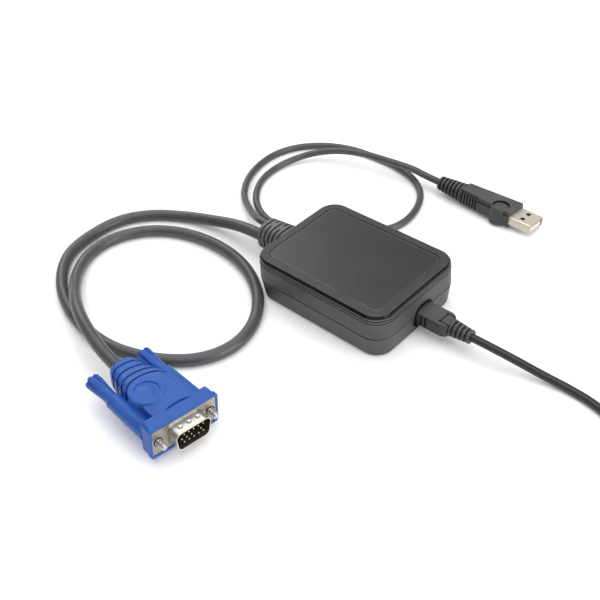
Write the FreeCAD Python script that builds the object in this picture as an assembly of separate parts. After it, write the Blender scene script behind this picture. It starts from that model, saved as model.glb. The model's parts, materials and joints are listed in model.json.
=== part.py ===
"""Laptop console adapter: a two-shell box, its strain relief, three cords and their plugs.

Millimetres, +Z up. The origin is the middle of the box's underside, +X points to the
mini-B socket and -X to the strain relief.
"""
import FreeCAD, Part
import math
import os

from FreeCAD import Placement, Rotation, Vector

# Box
CASE_LENGTH = 75.0
CASE_WIDTH = 56.0
CASE_CORNER = 9.4
CASE_WALL = 1.8
LOWER_HEIGHT = 11.0
LOWER_DRAFT = 1.45
UPPER_HEIGHT = 9.4
UPPER_DRAFT = 0.4
BOTTOM_EDGE_RADIUS = 2.0
PARTING_CHAMFER = 0.32
FLOOR_THICKNESS = 1.8
DECK_THICKNESS = 1.6
LIP_HEIGHT = 1.2
LIP_THICKNESS = 0.8
LIP_CLEARANCE = 0.1

# Top bezel and panel
BEZEL_HEIGHT = 2.6
BEZEL_LEAN = 0.7
BEZEL_EDGE_RADIUS = 0.9
BEZEL_GROOVE_HEIGHT = 0.45
BEZEL_GROOVE_DEPTH = 0.7
BEZEL_RIM_WIDTH = 3.3
PANEL_THICKNESS = 1.2
PANEL_DROP = 0.15
PANEL_GAP = 0.18
PANEL_LEDGE = 2.4

# Circuit board and what stands on it
BOARD_LENGTH = 64.0
BOARD_WIDTH = 46.0
BOARD_CORNER = 4.0
BOARD_THICKNESS = 1.6
SCREW_SPAN_X = 54.0
SCREW_SPAN_Y = 36.0
SCREW_RADIUS = 1.3
SCREW_HEAD_RADIUS = 2.5
SCREW_HEAD_HEIGHT = 1.8
SCREW_HEAD_DEPTH = 0.9
SCREW_LENGTH = 12.0
SCREW_CLEARANCE = 0.1
BOSS_RADIUS = 4.0
WIRE_RADIUS = 0.6
VIDEO_CHIP_SIDE = 14.0
USB_CHIP_SIDE = 9.0
MEMORY_CHIP_LENGTH = 11.0
MEMORY_CHIP_WIDTH = 8.0
CHIP_HEIGHT = 1.4
CRYSTAL_LENGTH = 10.0
CRYSTAL_WIDTH = 4.4
CRYSTAL_HEIGHT = 3.4
CAPACITOR_RADIUS = 2.5
CAPACITOR_HEIGHT = 5.4
CAPACITOR_PITCH = 7.0
HEADER_DEPTH = 4.0
HEADER_HEIGHT = 6.0
HEADER_X = -21.0
VGA_HEADER_WIDTH = 10.8
USB_HEADER_WIDTH = 5.4
USB_HEADER_SHIFT = 1.0
WIRE_PITCH = 1.5

# Mini-B socket and the port it looks out of
PORT_Y = 1.6
PORT_Z = 8.9
PORT_WIDTH = 11.2
PORT_HEIGHT = 10.4
PORT_CORNER = 3.8
SOCKET_LENGTH = 9.2
SOCKET_WIDTH = 7.9
SOCKET_HEIGHT = 4.0
SOCKET_WALL = 0.3
SOCKET_SETBACK = 1.4
SOCKET_BACK = 1.5
SOCKET_TONGUE_WIDTH = 3.6
SOCKET_TONGUE_THICKNESS = 0.9
SOCKET_TONGUE_LENGTH = 5.0

# Strain relief
RELIEF_LENGTH = 17.5
RELIEF_ROOT_HALF_WIDTH = 8.2
RELIEF_ROOT_HALF_HEIGHT = 7.9
RELIEF_END_HALF_WIDTH = 7.0
RELIEF_END_HALF_HEIGHT = 6.8
RELIEF_CORNER = 5.2
RELIEF_NECK_HALF_WIDTH = 6.2
RELIEF_NECK_HALF_HEIGHT = 5.4
RELIEF_NECK_CORNER = 3.6
RELIEF_FLANGE_HALF_WIDTH = 8.0
RELIEF_FLANGE_HALF_HEIGHT = 7.0
RELIEF_FLANGE_THICKNESS = 1.6
RELIEF_CLEARANCE = 0.1
RELIEF_GROOVES = 5
RELIEF_GROOVE_WIDTH = 1.05
RELIEF_GROOVE_DEPTH = 1.2
RELIEF_RIB_WIDTH = 1.65
RELIEF_BRIDGE = 3.0
VGA_EXIT_Y = -3.3
USB_EXIT_Y = 4.6

# Video plug, in its own frame: +X is the mating direction, the origin is on the face plate
VGA_PLACE = Vector(5.0, -107.4, 0.0)
VGA_YAW = -3.6
VGA_NOSE_DOWN = 2.0
VGA_ROLL = -6.5
VGA_LENGTH = 43.4
PLATE_WIDTH = 30.8
PLATE_HEIGHT = 12.5
PLATE_THICKNESS = 0.8
PLATE_CORNER = 1.2
FLANGE_RIM = 0.95
FLANGE_DEPTH = 6.0
FLANGE_CHAMFER = 1.1
FLANGE_STEP = 0.5
RIM_DEPTH = 1.7
RIM_REACH = 0.25
RIM_CORNER = 1.3
JACK_SPAN = 25.0
JACK_RADIUS = 1.6
JACK_THREAD_RADIUS = 1.42
JACK_REACH = 4.4
JACK_CLEARANCE = 0.08
JACK_PLATE_HOLE = 2.1
BARREL_RADIUS = 3.8
BARREL_END_RADIUS = 3.55
BARREL_LENGTH = 23.4
GRIP_LENGTH = 15.0
GRIP_NECK_RADIUS = 2.8
GRIP_END_RADIUS = 3.7
GRIP_GAP = 0.3
GRIP_FLUTES = 6
GRIP_FLUTE_RADIUS = 1.0
GRIP_FLUTE_DEPTH = 1.2
GRIP_END_EDGE = 0.4
GRIP_SOCKET_DEPTH = 9.0
DSHELL_WIDTH = 17.8
DSHELL_HEIGHT = 9.2
DSHELL_REACH = 5.9
DSHELL_WALL = 0.45
DSHELL_SLANT = 10.0
DSHELL_CORNER = 2.7
DSHELL_ROOT_RADIUS = 0.8
DSHELL_DIMPLES = 3
DSHELL_DIMPLE_PITCH = 4.2
DSHELL_DIMPLE_RADIUS = 2.0
DSHELL_DIMPLE_DEPTH = 0.3
INSULATOR_FRONT = 1.4
PIN_RADIUS = 0.38
PIN_PITCH = 2.29
PIN_ROW_PITCH = 1.98
PIN_REACH = 5.1
VGA_DISC_X = -19.0
VGA_DISC_Y = -3.5
VGA_DISC_RADIUS = 5.3
VGA_DISC_DEPTH = 0.7
VGA_BOSS_RADIUS = 7.6
VGA_BOSS_RISE = 0.2
VGA_BOSS_EDGE = 0.6
VGA_NICK_X = -5.2
VGA_NICK_Y = 1.1
VGA_NICK_HALF_WIDTH = 6.4
VGA_NICK_SAG = 1.4
VGA_NICK_DEPTH = 1.0
VGA_RAMP_RADIUS = 10.0
VGA_RAMP_DEPTH = 3.0
VGA_RAMP_END_Y = 2.5
VGA_RIBS = 4
VGA_RIB_FIRST = -28.4
VGA_RIB_PITCH = 3.8
VGA_RIB_CURVE = 13.0
VGA_RIB_Y = -1.0
VGA_RIB_GROOVE = 1.0
VGA_RIB_DEPTH = 0.9

# USB-A plug, in its own frame: +X is the mating direction, the origin is on the shell's mouth
USB_PLACE = Vector(38.9, 89.9, 0.0)
USB_YAW = -0.5
USB_NOSE_DOWN = 2.0
USB_ROLL = -5.0
USB_SHELL_WIDTH = 12.0
USB_SHELL_HEIGHT = 4.5
USB_SHELL_REACH = 11.9
USB_SHELL_ROOT = 4.0
USB_SHELL_WALL = 0.3
USB_SHELL_CORNER = 0.6
USB_WINDOW = 2.2
USB_WINDOW_SETBACK = 5.2
USB_WINDOW_SPAN = 5.4
USB_TONGUE_WIDTH = 10.7
USB_TONGUE_THICKNESS = 1.9
USB_TONGUE_SETBACK = 0.8
USB_CONTACT_THICKNESS = 0.12
USB_CONTACT_WIDTH = 1.1
USB_CONTACT_LENGTH = 7.4
USB_HOOD_LENGTH = 30.0
USB_HOOD_FRONT_WIDTH = 13.4
USB_HOOD_REAR_WIDTH = 9.0
USB_HOOD_THICKNESS = 8.4
USB_HOOD_CORNER = 2.0
USB_TOP_PLATE_RISE = 0.45
USB_TOP_PLATE_MARGIN = 0.5
USB_BOOT_LENGTH = 14.8
USB_BOOT_ROOT_RADIUS = 5.1
USB_BOOT_END_RADIUS = 3.7
USB_BOOT_RIBS = 6
USB_BOOT_GROOVE_WIDTH = 1.2
USB_BOOT_GROOVE_DEPTH = 1.1
USB_SIDE_NOTCHES = 6
USB_SIDE_NOTCH_PITCH = 1.75
USB_SIDE_NOTCH_WIDTH = 0.8
USB_SIDE_NOTCH_DEPTH = 0.8
USB_SIDE_STEP_HEIGHT = 0.8
USB_SIDE_STEP_DEPTH = 0.5
USB_DISC_X = -19.0
USB_DISC_Y = -2.8
USB_DISC_RADIUS = 5.0
USB_DISC_RING = 0.7
USB_DISC_DEPTH = 1.0

# Mini-B plug on the laptop cord
MINI_HOOD_LENGTH = 16.2
MINI_HOOD_WIDTH = 9.8
MINI_HOOD_HEIGHT = 5.6
MINI_HOOD_CORNER = 1.6
MINI_HOOD_INSET = 0.4
MINI_HOOD_ROUNDING = ((3.4, 0.0), (2.0, 0.4), (1.0, 1.0), (0.35, 1.7), (0.0, 2.4))
MINI_PLATE_RISE = 0.5
MINI_PLATE_MARGIN = 0.25
MINI_PLATE_LENGTH = 9.6
MINI_TAB_WIDTH = 5.2
MINI_TAB_GROOVE = 0.45
MINI_TAB_GROOVE_DEPTH = 0.45
MINI_PIT_RADIUS = 0.45
MINI_PIT_SPAN = 5.8
MINI_WAISTS = 2
MINI_WAIST_FIRST = 0.9
MINI_WAIST_PITCH = 2.3
MINI_WAIST_WIDTH = 1.3
MINI_WAIST_DEPTH = 0.9
MINI_NOSE_WIDTH = 6.9
MINI_NOSE_HEIGHT = 3.1
MINI_NOSE_LENGTH = 6.6
MINI_NOSE_ROOT = 4.0
MINI_NOSE_WALL = 0.3
MINI_NOSE_CORNER = 0.8
MINI_INSERT_THICKNESS = 0.7
MINI_BOOT_LENGTH = 9.4
MINI_BOOT_ROOT_RADIUS = 3.9
MINI_BOOT_END_RADIUS = 3.1
MINI_BOOT_RIBS = 4
MINI_BOOT_GROOVE_WIDTH = 1.1
MINI_BOOT_GROOVE_DEPTH = 0.9

# Plain USB-A plug at the laptop end of that cord
LAPTOP_PLUG_PLACE = Vector(193.4, 67.4, 0.0)
LAPTOP_PLUG_YAW = 80.0
LAPTOP_HOOD_LENGTH = 20.0
LAPTOP_HOOD_WIDTH = 15.4
LAPTOP_HOOD_THICKNESS = 7.6
LAPTOP_HOOD_CORNER = 1.8
LAPTOP_BOOT_LENGTH = 9.0
LAPTOP_BOOT_ROOT_RADIUS = 3.3
LAPTOP_BOOT_END_RADIUS = 2.6
LAPTOP_BOOT_RIBS = 4
LAPTOP_BOOT_GROOVE_WIDTH = 0.8
LAPTOP_BOOT_GROOVE_DEPTH = 0.6

# Put-away coil of the laptop cord
COIL_CENTRE = Vector(152.0, 20.0, 0.0)
COIL_MID_RADIUS = 20.0
COIL_COLUMNS = 3
COIL_LAYERS = 2
COIL_ROOM = 0.2
COIL_EDGE = 1.7
COIL_LEAVES_AT = -60.0
TIE_ANGLE = 190.0
TIE_WIDTH = 5.0
TIE_THICKNESS = 0.6
TIE_CLEARANCE = 0.35

# Cords
VGA_CORD = 5.8
USB_CORD = 3.6
LAPTOP_CORD = 3.6

# Levels that several pieces share
PARTING_Z = LOWER_HEIGHT
DECK_TOP_Z = PARTING_Z + UPPER_HEIGHT
BEZEL_TOP_Z = DECK_TOP_Z + BEZEL_HEIGHT
BOARD_TOP_Z = PORT_Z - SOCKET_HEIGHT / 2
BOARD_BOTTOM_Z = BOARD_TOP_Z - BOARD_THICKNESS
PORT_FACE_X = CASE_LENGTH / 2
RELIEF_FACE_X = -CASE_LENGTH / 2
RELIEF_Z = PARTING_Z
COIL_HALF_WIDTH = COIL_COLUMNS * LAPTOP_CORD / 2 + COIL_ROOM
COIL_HEIGHT = COIL_LAYERS * LAPTOP_CORD + COIL_ROOM
COIL_BASE_Z = TIE_THICKNESS
COIL_OUTER_TURN = COIL_MID_RADIUS + (COIL_COLUMNS - 1) * LAPTOP_CORD / 2
FLANGE_HALF_WIDTH = PLATE_WIDTH / 2 + FLANGE_RIM
FLANGE_HALF_HEIGHT = PLATE_HEIGHT / 2 + FLANGE_RIM + 0.3
BARREL_END_X = -FLANGE_DEPTH - BARREL_LENGTH
GRIP_FRONT_X = BARREL_END_X - GRIP_GAP
GRIP_END_X = GRIP_FRONT_X - GRIP_LENGTH

X_AXIS = Vector(1, 0, 0)
Y_AXIS = Vector(0, 1, 0)
Z_AXIS = Vector(0, 0, 1)


# Shapes that several pieces are made from

def rounded_outline(centre, across, upward, half_across, half_up, radius):
    """Closed wire of a rounded rectangle in the plane of two unit directions."""
    edges = []
    corners = [(1, 1, 0), (-1, 1, 90), (-1, -1, 180), (1, -1, 270)]
    previous = None
    first = None
    for side, top, start in corners:
        middle = centre + across * (side * (half_across - radius)) + upward * (top * (half_up - radius))
        points = []
        for turn in (start, start + 45, start + 90):
            angle = math.radians(turn)
            points.append(middle + across * (radius * math.cos(angle)) + upward * (radius * math.sin(angle)))
        if previous is not None:
            edges.append(Part.LineSegment(previous, points[0]).toShape())
        else:
            first = points[0]
        edges.append(Part.Arc(*points).toShape())
        previous = points[2]
    edges.append(Part.LineSegment(previous, first).toShape())
    return Part.Wire(edges)


def case_outline(inset, level):
    """Outline of the box at a level, drawn in by an inset all round."""
    return rounded_outline(Vector(0, 0, level), X_AXIS, Y_AXIS, CASE_LENGTH / 2 - inset,
                           CASE_WIDTH / 2 - inset, CASE_CORNER - inset)


def case_block(low_inset, low, high_inset, high):
    """Solid between two outlines of the box."""
    return Part.makeLoft([case_outline(low_inset, low), case_outline(high_inset, high)], True, True)


def section(x, half_width, half_height, radius, y=0.0, z=0.0):
    """Rounded cross-section that stands across the X axis."""
    return rounded_outline(Vector(x, y, z), Y_AXIS, Z_AXIS, half_width, half_height, radius)


def bar(x_start, x_end, half_width, half_height, radius, y=0.0, z=0.0):
    """Straight bar along X with a rounded cross-section."""
    face = Part.Face(section(x_start, half_width, half_height, radius, y, z))
    return face.extrude(Vector(x_end - x_start, 0, 0))


def block(x_start, x_end, half_width, z_low, z_high, y=0.0):
    """Plain block along X."""
    return Part.makeBox(x_end - x_start, 2 * half_width, z_high - z_low,
                        Vector(x_start, y - half_width, z_low))


def rod(radius, start, end):
    """Round bar between two points."""
    return Part.makeCylinder(radius, (end - start).Length, start, end - start)


def ball(radius, centre):
    """Sphere whose poles and seam stay clear of its top and bottom."""
    sphere = Part.makeSphere(radius, Vector(0, 0, 0), Y_AXIS)
    sphere.rotate(Vector(0, 0, 0), Y_AXIS, 45)
    sphere.translate(centre)
    return sphere


def edges_at(shape, level):
    """Edges that lie in the horizontal plane of a level."""
    box_of = [(edge, edge.BoundBox) for edge in shape.Edges]
    return [edge for edge, box in box_of if abs(box.ZMin - level) < 1e-4 and abs(box.ZMax - level) < 1e-4]


def edges_along_x(shape):
    """Straight edges that run along X."""
    found = []
    for edge in shape.Edges:
        box = edge.BoundBox
        if box.XLength > 0.5 and box.YLength < 1e-3 and box.ZLength < 1e-3:
            found.append(edge)
    return found


def ribbed_boot(x_root, x_end, root_radius, end_radius, ribs, groove_width, groove_depth):
    """Tapered round boot along -X with grooves between its ribs."""
    length = x_root - x_end
    taper = (root_radius - end_radius) / length
    pitch = length / (ribs + 0.5)
    points = [Vector(x_root, 0, 0), Vector(x_root, 0, root_radius)]
    for index in range(ribs):
        near = x_root - pitch * (index + 1) + groove_width
        far = near - groove_width
        for x, depth in ((near, 0.0), (near, groove_depth), (far, groove_depth), (far, 0.0)):
            points.append(Vector(x, 0, root_radius - taper * (x_root - x) - depth))
    points.append(Vector(x_end, 0, end_radius))
    points.append(Vector(x_end, 0, 0))
    profile = Part.Face(Part.makePolygon(points + [points[0]]))
    return profile.revolve(Vector(x_root, 0, 0), X_AXIS, 360)


def cord_tube(name, points, diameter):
    """Tube along straight runs and tangent arcs, each arc as large as its two runs allow."""
    edges = []
    radii = []
    last = points[0]
    for before, corner, after in zip(points, points[1:], points[2:]):
        back = before - corner
        ahead = after - corner
        shorter = min(back.Length, ahead.Length)
        turn = math.pi - back.getAngle(ahead)
        reach = 0.45 * shorter
        radius = reach / math.tan(turn / 2)
        radii.append(radius)
        back.normalize()
        ahead.normalize()
        middle = back + ahead
        middle.normalize()
        rise = radius / math.cos(turn / 2) - radius
        start = corner + back * reach
        end = corner + ahead * reach
        edges.append(Part.LineSegment(last, start).toShape())
        edges.append(Part.Arc(start, corner + middle * rise, end).toShape())
        last = end
    edges.append(Part.LineSegment(last, points[-1]).toShape())
    path = Part.Wire(edges)
    ring = Part.Wire([Part.makeCircle(diameter / 2, points[0], points[1] - points[0])])
    tube = path.makePipeShell([ring], True, False)
    ideal = math.pi * diameter ** 2 / 4 * path.Length
    print(name, "length %.1f" % path.Length, "radii", [round(radius, 1) for radius in radii],
          "volume ratio %.4f" % (tube.Volume / ideal))
    return tube


# Box

def case_screw_spots():
    """Plan positions of the four case screws."""
    return [(sx * SCREW_SPAN_X / 2, sy * SCREW_SPAN_Y / 2) for sx in (-1, 1) for sy in (-1, 1)]


def port_cut():
    """Opening in the +X wall that the mini-B plug passes through."""
    return bar(PORT_FACE_X - 3 * CASE_WALL, PORT_FACE_X + CASE_WALL, PORT_WIDTH / 2, PORT_HEIGHT / 2,
               PORT_CORNER, PORT_Y, PORT_Z)


def relief_cut():
    """Opening in the -X wall for the strain relief's neck, with a flat pocket for its flange."""
    neck = bar(RELIEF_FACE_X - CASE_WALL, RELIEF_FACE_X + 2 * CASE_WALL,
               RELIEF_NECK_HALF_WIDTH + RELIEF_CLEARANCE, RELIEF_NECK_HALF_HEIGHT + RELIEF_CLEARANCE,
               RELIEF_NECK_CORNER + RELIEF_CLEARANCE, 0, RELIEF_Z)
    pocket = bar(RELIEF_FACE_X + CASE_WALL, relief_inner_x() + RELIEF_CLEARANCE,
                 RELIEF_FLANGE_HALF_WIDTH + RELIEF_CLEARANCE, RELIEF_FLANGE_HALF_HEIGHT + RELIEF_CLEARANCE,
                 RELIEF_NECK_CORNER + RELIEF_CLEARANCE, 0, RELIEF_Z)
    return neck.fuse(pocket)


def lip_ring(clearance):
    """Ring that locates the two shells, grown by a clearance on its free faces."""
    outer = CASE_WALL - LIP_THICKNESS - clearance
    top = PARTING_Z + LIP_HEIGHT + clearance
    inner = CASE_WALL + clearance
    ring = case_block(outer, PARTING_Z, outer, top)
    return ring.cut(case_block(inner, PARTING_Z, inner, top))


def make_lower_shell():
    """Lower half of the box: drafted walls, rounded foot, screw bosses and a locating lip."""
    body = case_block(LOWER_DRAFT, 0, 0, PARTING_Z)
    body = body.makeFillet(BOTTOM_EDGE_RADIUS, edges_at(body, 0))
    body = body.makeChamfer(PARTING_CHAMFER, edges_at(body, PARTING_Z))
    body = body.cut(case_block(LOWER_DRAFT + CASE_WALL, FLOOR_THICKNESS, CASE_WALL, PARTING_Z))
    for x, y in case_screw_spots():
        body = body.fuse(Part.makeCylinder(BOSS_RADIUS, BOARD_BOTTOM_Z - FLOOR_THICKNESS,
                                           Vector(x, y, FLOOR_THICKNESS)))
    body = body.fuse(lip_ring(0))
    for x, y in case_screw_spots():
        body = body.cut(Part.makeCylinder(SCREW_RADIUS + SCREW_CLEARANCE, BOARD_BOTTOM_Z, Vector(x, y, 0)))
        body = body.cut(Part.makeCylinder(SCREW_HEAD_RADIUS + SCREW_CLEARANCE,
                                          SCREW_HEAD_DEPTH + SCREW_HEAD_HEIGHT, Vector(x, y, 0)))
    return body.cut(port_cut()).cut(relief_cut()).removeSplitter()


def make_upper_shell():
    """Upper half of the box: slightly drafted walls under a flat deck, with screw posts."""
    body = case_block(0, PARTING_Z, UPPER_DRAFT, DECK_TOP_Z)
    body = body.makeChamfer(PARTING_CHAMFER, edges_at(body, PARTING_Z))
    body = body.cut(case_block(CASE_WALL, PARTING_Z, CASE_WALL + UPPER_DRAFT, DECK_TOP_Z - DECK_THICKNESS))
    for x, y in case_screw_spots():
        post = Part.makeCylinder(BOSS_RADIUS, DECK_TOP_Z - DECK_THICKNESS - BOARD_TOP_Z,
                                 Vector(x, y, BOARD_TOP_Z))
        body = body.fuse(post)
    for x, y in case_screw_spots():
        hole_depth = screw_tip_z() + SCREW_CLEARANCE - BOARD_TOP_Z
        body = body.cut(Part.makeCylinder(SCREW_RADIUS + SCREW_CLEARANCE, hole_depth, Vector(x, y, BOARD_TOP_Z)))
    return body.cut(lip_ring(LIP_CLEARANCE)).cut(port_cut()).cut(relief_cut()).removeSplitter()


def make_top_bezel():
    """Glossy frame on the deck: shadow groove below, rounded edge above, recess for the panel."""
    groove_inset = UPPER_DRAFT + BEZEL_GROOVE_DEPTH
    side_low = DECK_TOP_Z + BEZEL_GROOVE_HEIGHT
    top_inset = UPPER_DRAFT + BEZEL_LEAN
    foot = case_block(groove_inset, DECK_TOP_Z, groove_inset, side_low)
    crown = case_block(UPPER_DRAFT, side_low, top_inset, BEZEL_TOP_Z)
    crown = crown.makeFillet(BEZEL_EDGE_RADIUS, edges_at(crown, BEZEL_TOP_Z))
    recess_inset = panel_inset() - PANEL_GAP
    recess_low = BEZEL_TOP_Z - PANEL_DROP - PANEL_THICKNESS
    frame = foot.fuse(crown).cut(case_block(recess_inset, recess_low, recess_inset, BEZEL_TOP_Z))
    ledge_inset = recess_inset + PANEL_LEDGE
    return frame.cut(case_block(ledge_inset, DECK_TOP_Z, ledge_inset, recess_low)).removeSplitter()


def panel_inset():
    """How far the panel's edge lies inside the box's outline."""
    return UPPER_DRAFT + BEZEL_LEAN + BEZEL_EDGE_RADIUS + BEZEL_RIM_WIDTH


def make_top_panel():
    """Satin panel that lies on the bezel's ledge, just below its rim."""
    top = BEZEL_TOP_Z - PANEL_DROP
    panel = case_block(panel_inset(), top - PANEL_THICKNESS, panel_inset(), top)
    return panel.makeFillet(PANEL_DROP, edges_at(panel, top))


def screw_tip_z():
    """Level of the case screws' points."""
    return SCREW_HEAD_DEPTH + SCREW_HEAD_HEIGHT + SCREW_LENGTH


def make_case_screws():
    """Four pan-head screws that hold the shells and the board together from below."""
    screws = []
    for x, y in case_screw_spots():
        head = Part.makeCylinder(SCREW_HEAD_RADIUS, SCREW_HEAD_HEIGHT, Vector(x, y, SCREW_HEAD_DEPTH))
        shank = Part.makeCylinder(SCREW_RADIUS, SCREW_LENGTH, Vector(x, y, SCREW_HEAD_DEPTH + SCREW_HEAD_HEIGHT))
        screws.append(head.fuse(shank).removeSplitter())
    return Part.makeCompound(screws)


# Circuit board

def make_circuit_board():
    """Board with clearance holes for the case screws."""
    outline = rounded_outline(Vector(0, 0, BOARD_BOTTOM_Z), X_AXIS, Y_AXIS, BOARD_LENGTH / 2,
                              BOARD_WIDTH / 2, BOARD_CORNER)
    board = Part.Face(outline).extrude(Vector(0, 0, BOARD_THICKNESS))
    for x, y in case_screw_spots():
        board = board.cut(Part.makeCylinder(SCREW_RADIUS + SCREW_CLEARANCE, BOARD_THICKNESS,
                                            Vector(x, y, BOARD_BOTTOM_Z)))
    return board


def make_chip(x, y, length, width):
    """Flat chip package standing on the board."""
    chip = Part.makeBox(length, width, CHIP_HEIGHT, Vector(x - length / 2, y - width / 2, BOARD_TOP_Z))
    return chip.makeChamfer(CHIP_HEIGHT / 4, edges_at(chip, BOARD_TOP_Z + CHIP_HEIGHT))


def make_crystal():
    """Metal crystal can lying along X."""
    outline = rounded_outline(Vector(8, -17, BOARD_TOP_Z), X_AXIS, Y_AXIS, CRYSTAL_LENGTH / 2,
                              CRYSTAL_WIDTH / 2, CRYSTAL_WIDTH / 2 - 0.2)
    can = Part.Face(outline).extrude(Vector(0, 0, CRYSTAL_HEIGHT))
    return can.makeFillet(CRYSTAL_HEIGHT / 8, edges_at(can, BOARD_TOP_Z + CRYSTAL_HEIGHT))


def make_capacitors():
    """Row of three round capacitor cans."""
    cans = []
    for index in range(3):
        can = Part.makeCylinder(CAPACITOR_RADIUS, CAPACITOR_HEIGHT,
                                Vector(20, 8 + CAPACITOR_PITCH * (index - 1) + 6, BOARD_TOP_Z))
        cans.append(can.makeFillet(CAPACITOR_RADIUS / 8, edges_at(can, BOARD_TOP_Z + CAPACITOR_HEIGHT)))
    return Part.makeCompound(cans)


def make_header(y, width):
    """Shrouded wire header whose open side looks at the strain relief."""
    return Part.makeBox(HEADER_DEPTH, width, HEADER_HEIGHT, Vector(HEADER_X, y - width / 2, BOARD_TOP_Z))


def make_wires(y, columns, rows):
    """Straight wires from the strain relief's inner face to a header."""
    wires = []
    start_x = relief_inner_x()
    for row in range(rows):
        for column in range(columns):
            wire_y = y + WIRE_PITCH * (column - (columns - 1) / 2)
            wire_z = RELIEF_Z + WIRE_PITCH * (row - (rows - 1) / 2)
            wires.append(rod(WIRE_RADIUS, Vector(start_x, wire_y, wire_z), Vector(HEADER_X, wire_y, wire_z)))
    return Part.makeCompound(wires)


def socket_front_x():
    """Where the mini-B socket's mouth lies behind the box's end face."""
    return PORT_FACE_X - SOCKET_SETBACK


def make_mini_socket_shell():
    """Folded steel shell of the mini-B socket, open towards +X."""
    front = socket_front_x()
    shell = bar(front - SOCKET_LENGTH, front, SOCKET_WIDTH / 2, SOCKET_HEIGHT / 2, MINI_NOSE_CORNER, PORT_Y, PORT_Z)
    hollow = bar(front - SOCKET_LENGTH + SOCKET_BACK, front, SOCKET_WIDTH / 2 - SOCKET_WALL,
                 SOCKET_HEIGHT / 2 - SOCKET_WALL, MINI_NOSE_CORNER - SOCKET_WALL, PORT_Y, PORT_Z)
    return shell.cut(hollow)


def make_mini_socket_tongue():
    """Contact tongue that stands in the middle of the socket."""
    back = socket_front_x() - SOCKET_LENGTH + SOCKET_BACK
    half = SOCKET_TONGUE_THICKNESS / 2
    return block(back, back + SOCKET_TONGUE_LENGTH, SOCKET_TONGUE_WIDTH / 2, PORT_Z - half, PORT_Z + half, PORT_Y)


# Strain relief

def relief_inner_x():
    """Inner face of the strain relief, inside the box."""
    return RELIEF_FACE_X + CASE_WALL + RELIEF_CLEARANCE + RELIEF_FLANGE_THICKNESS


def relief_end_x():
    """Outer face of the strain relief, where the cords leave."""
    return RELIEF_FACE_X - RELIEF_LENGTH


def relief_body(skin):
    """Tapered body of the strain relief, drawn in by a skin all round."""
    root = section(RELIEF_FACE_X + LOWER_DRAFT, RELIEF_ROOT_HALF_WIDTH - skin, RELIEF_ROOT_HALF_HEIGHT - skin,
                   RELIEF_CORNER - skin, 0, RELIEF_Z)
    end = section(relief_end_x(), RELIEF_END_HALF_WIDTH - skin, RELIEF_END_HALF_HEIGHT - skin,
                  RELIEF_CORNER - skin, 0, RELIEF_Z)
    return Part.makeLoft([root, end], True, True)


def make_strain_relief():
    """Grey moulded relief: ribbed outside the wall, necked in it, flanged inside it."""
    body = relief_body(0)
    skin = body.cut(relief_body(RELIEF_GROOVE_DEPTH))
    half_height = RELIEF_ROOT_HALF_HEIGHT + 1
    half_width = RELIEF_ROOT_HALF_WIDTH + 1
    for index in range(RELIEF_GROOVES):
        x = relief_end_x() + RELIEF_RIB_WIDTH + index * (RELIEF_RIB_WIDTH + RELIEF_GROOVE_WIDTH)
        groove = block(x, x + RELIEF_GROOVE_WIDTH, half_width, RELIEF_Z - half_height, RELIEF_Z + half_height)
        if index % 2 == 0:
            bridge_half = RELIEF_BRIDGE / 2
            bridge = block(x, x + RELIEF_GROOVE_WIDTH, half_width, RELIEF_Z - bridge_half, RELIEF_Z + bridge_half)
        else:
            bridge = block(x, x + RELIEF_GROOVE_WIDTH, RELIEF_BRIDGE / 2, RELIEF_Z - half_height,
                           RELIEF_Z + half_height)
        body = body.cut(skin.common(groove.cut(bridge)))
    body = body.cut(case_block(LOWER_DRAFT, 0, 0, PARTING_Z))
    body = body.cut(case_block(0, PARTING_Z, UPPER_DRAFT, DECK_TOP_Z))
    wall_inner_x = RELIEF_FACE_X + CASE_WALL + RELIEF_CLEARANCE
    neck = bar(RELIEF_FACE_X, wall_inner_x, RELIEF_NECK_HALF_WIDTH, RELIEF_NECK_HALF_HEIGHT,
               RELIEF_NECK_CORNER, 0, RELIEF_Z)
    flange = bar(wall_inner_x, relief_inner_x(), RELIEF_FLANGE_HALF_WIDTH, RELIEF_FLANGE_HALF_HEIGHT,
                 RELIEF_NECK_CORNER, 0, RELIEF_Z)
    return body.fuse(neck).fuse(flange).removeSplitter()


# Video plug

def vga_top():
    """Level of the hood's flat top, flush with the flange."""
    return FLANGE_HALF_HEIGHT


def vga_body(skin):
    """Moulded body between the flange and the cord, wider on its plain side, drawn in by a skin all round."""
    tail_height = VGA_CORD / 2 + 1.6
    sections = [
        (-FLANGE_DEPTH + 0.5, 9.4, 12.6, vga_top(), 2.0),
        (VGA_DISC_X + 6.0, 9.4, 11.4, vga_top(), 2.4),
        (VGA_DISC_X, 9.5, 10.4, vga_top(), 2.8),
        (VGA_DISC_X - 9.0, 9.0, 8.8, vga_top() - 0.4, 3.2),
        (VGA_DISC_X - 17.0, 7.4, 7.3, vga_top() - 1.5, 3.5),
        (-VGA_LENGTH + 1.2, 5.6, 5.6, tail_height + 0.9, 3.5),
        (-VGA_LENGTH, 4.7, 4.7, tail_height, 3.5),
    ]
    wires = []
    for x, left, right, half_height, corner in sections:
        wires.append(section(x, (left + right) / 2 - skin, half_height - skin, corner - skin, (right - left) / 2))
    return Part.makeLoft(wires, True, False)


def vga_flange():
    """Flange block with chamfered long edges and a wider, squarer rim round the face plate."""
    block_end = -RIM_DEPTH
    half_width = FLANGE_HALF_WIDTH - FLANGE_STEP
    rear = block(-FLANGE_DEPTH, block_end, half_width, -FLANGE_HALF_HEIGHT, FLANGE_HALF_HEIGHT)
    rear = rear.makeChamfer(FLANGE_CHAMFER, edges_along_x(rear))
    rim = bar(block_end, RIM_REACH, FLANGE_HALF_WIDTH, FLANGE_HALF_HEIGHT, RIM_CORNER)
    return rear.fuse(rim)


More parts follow.
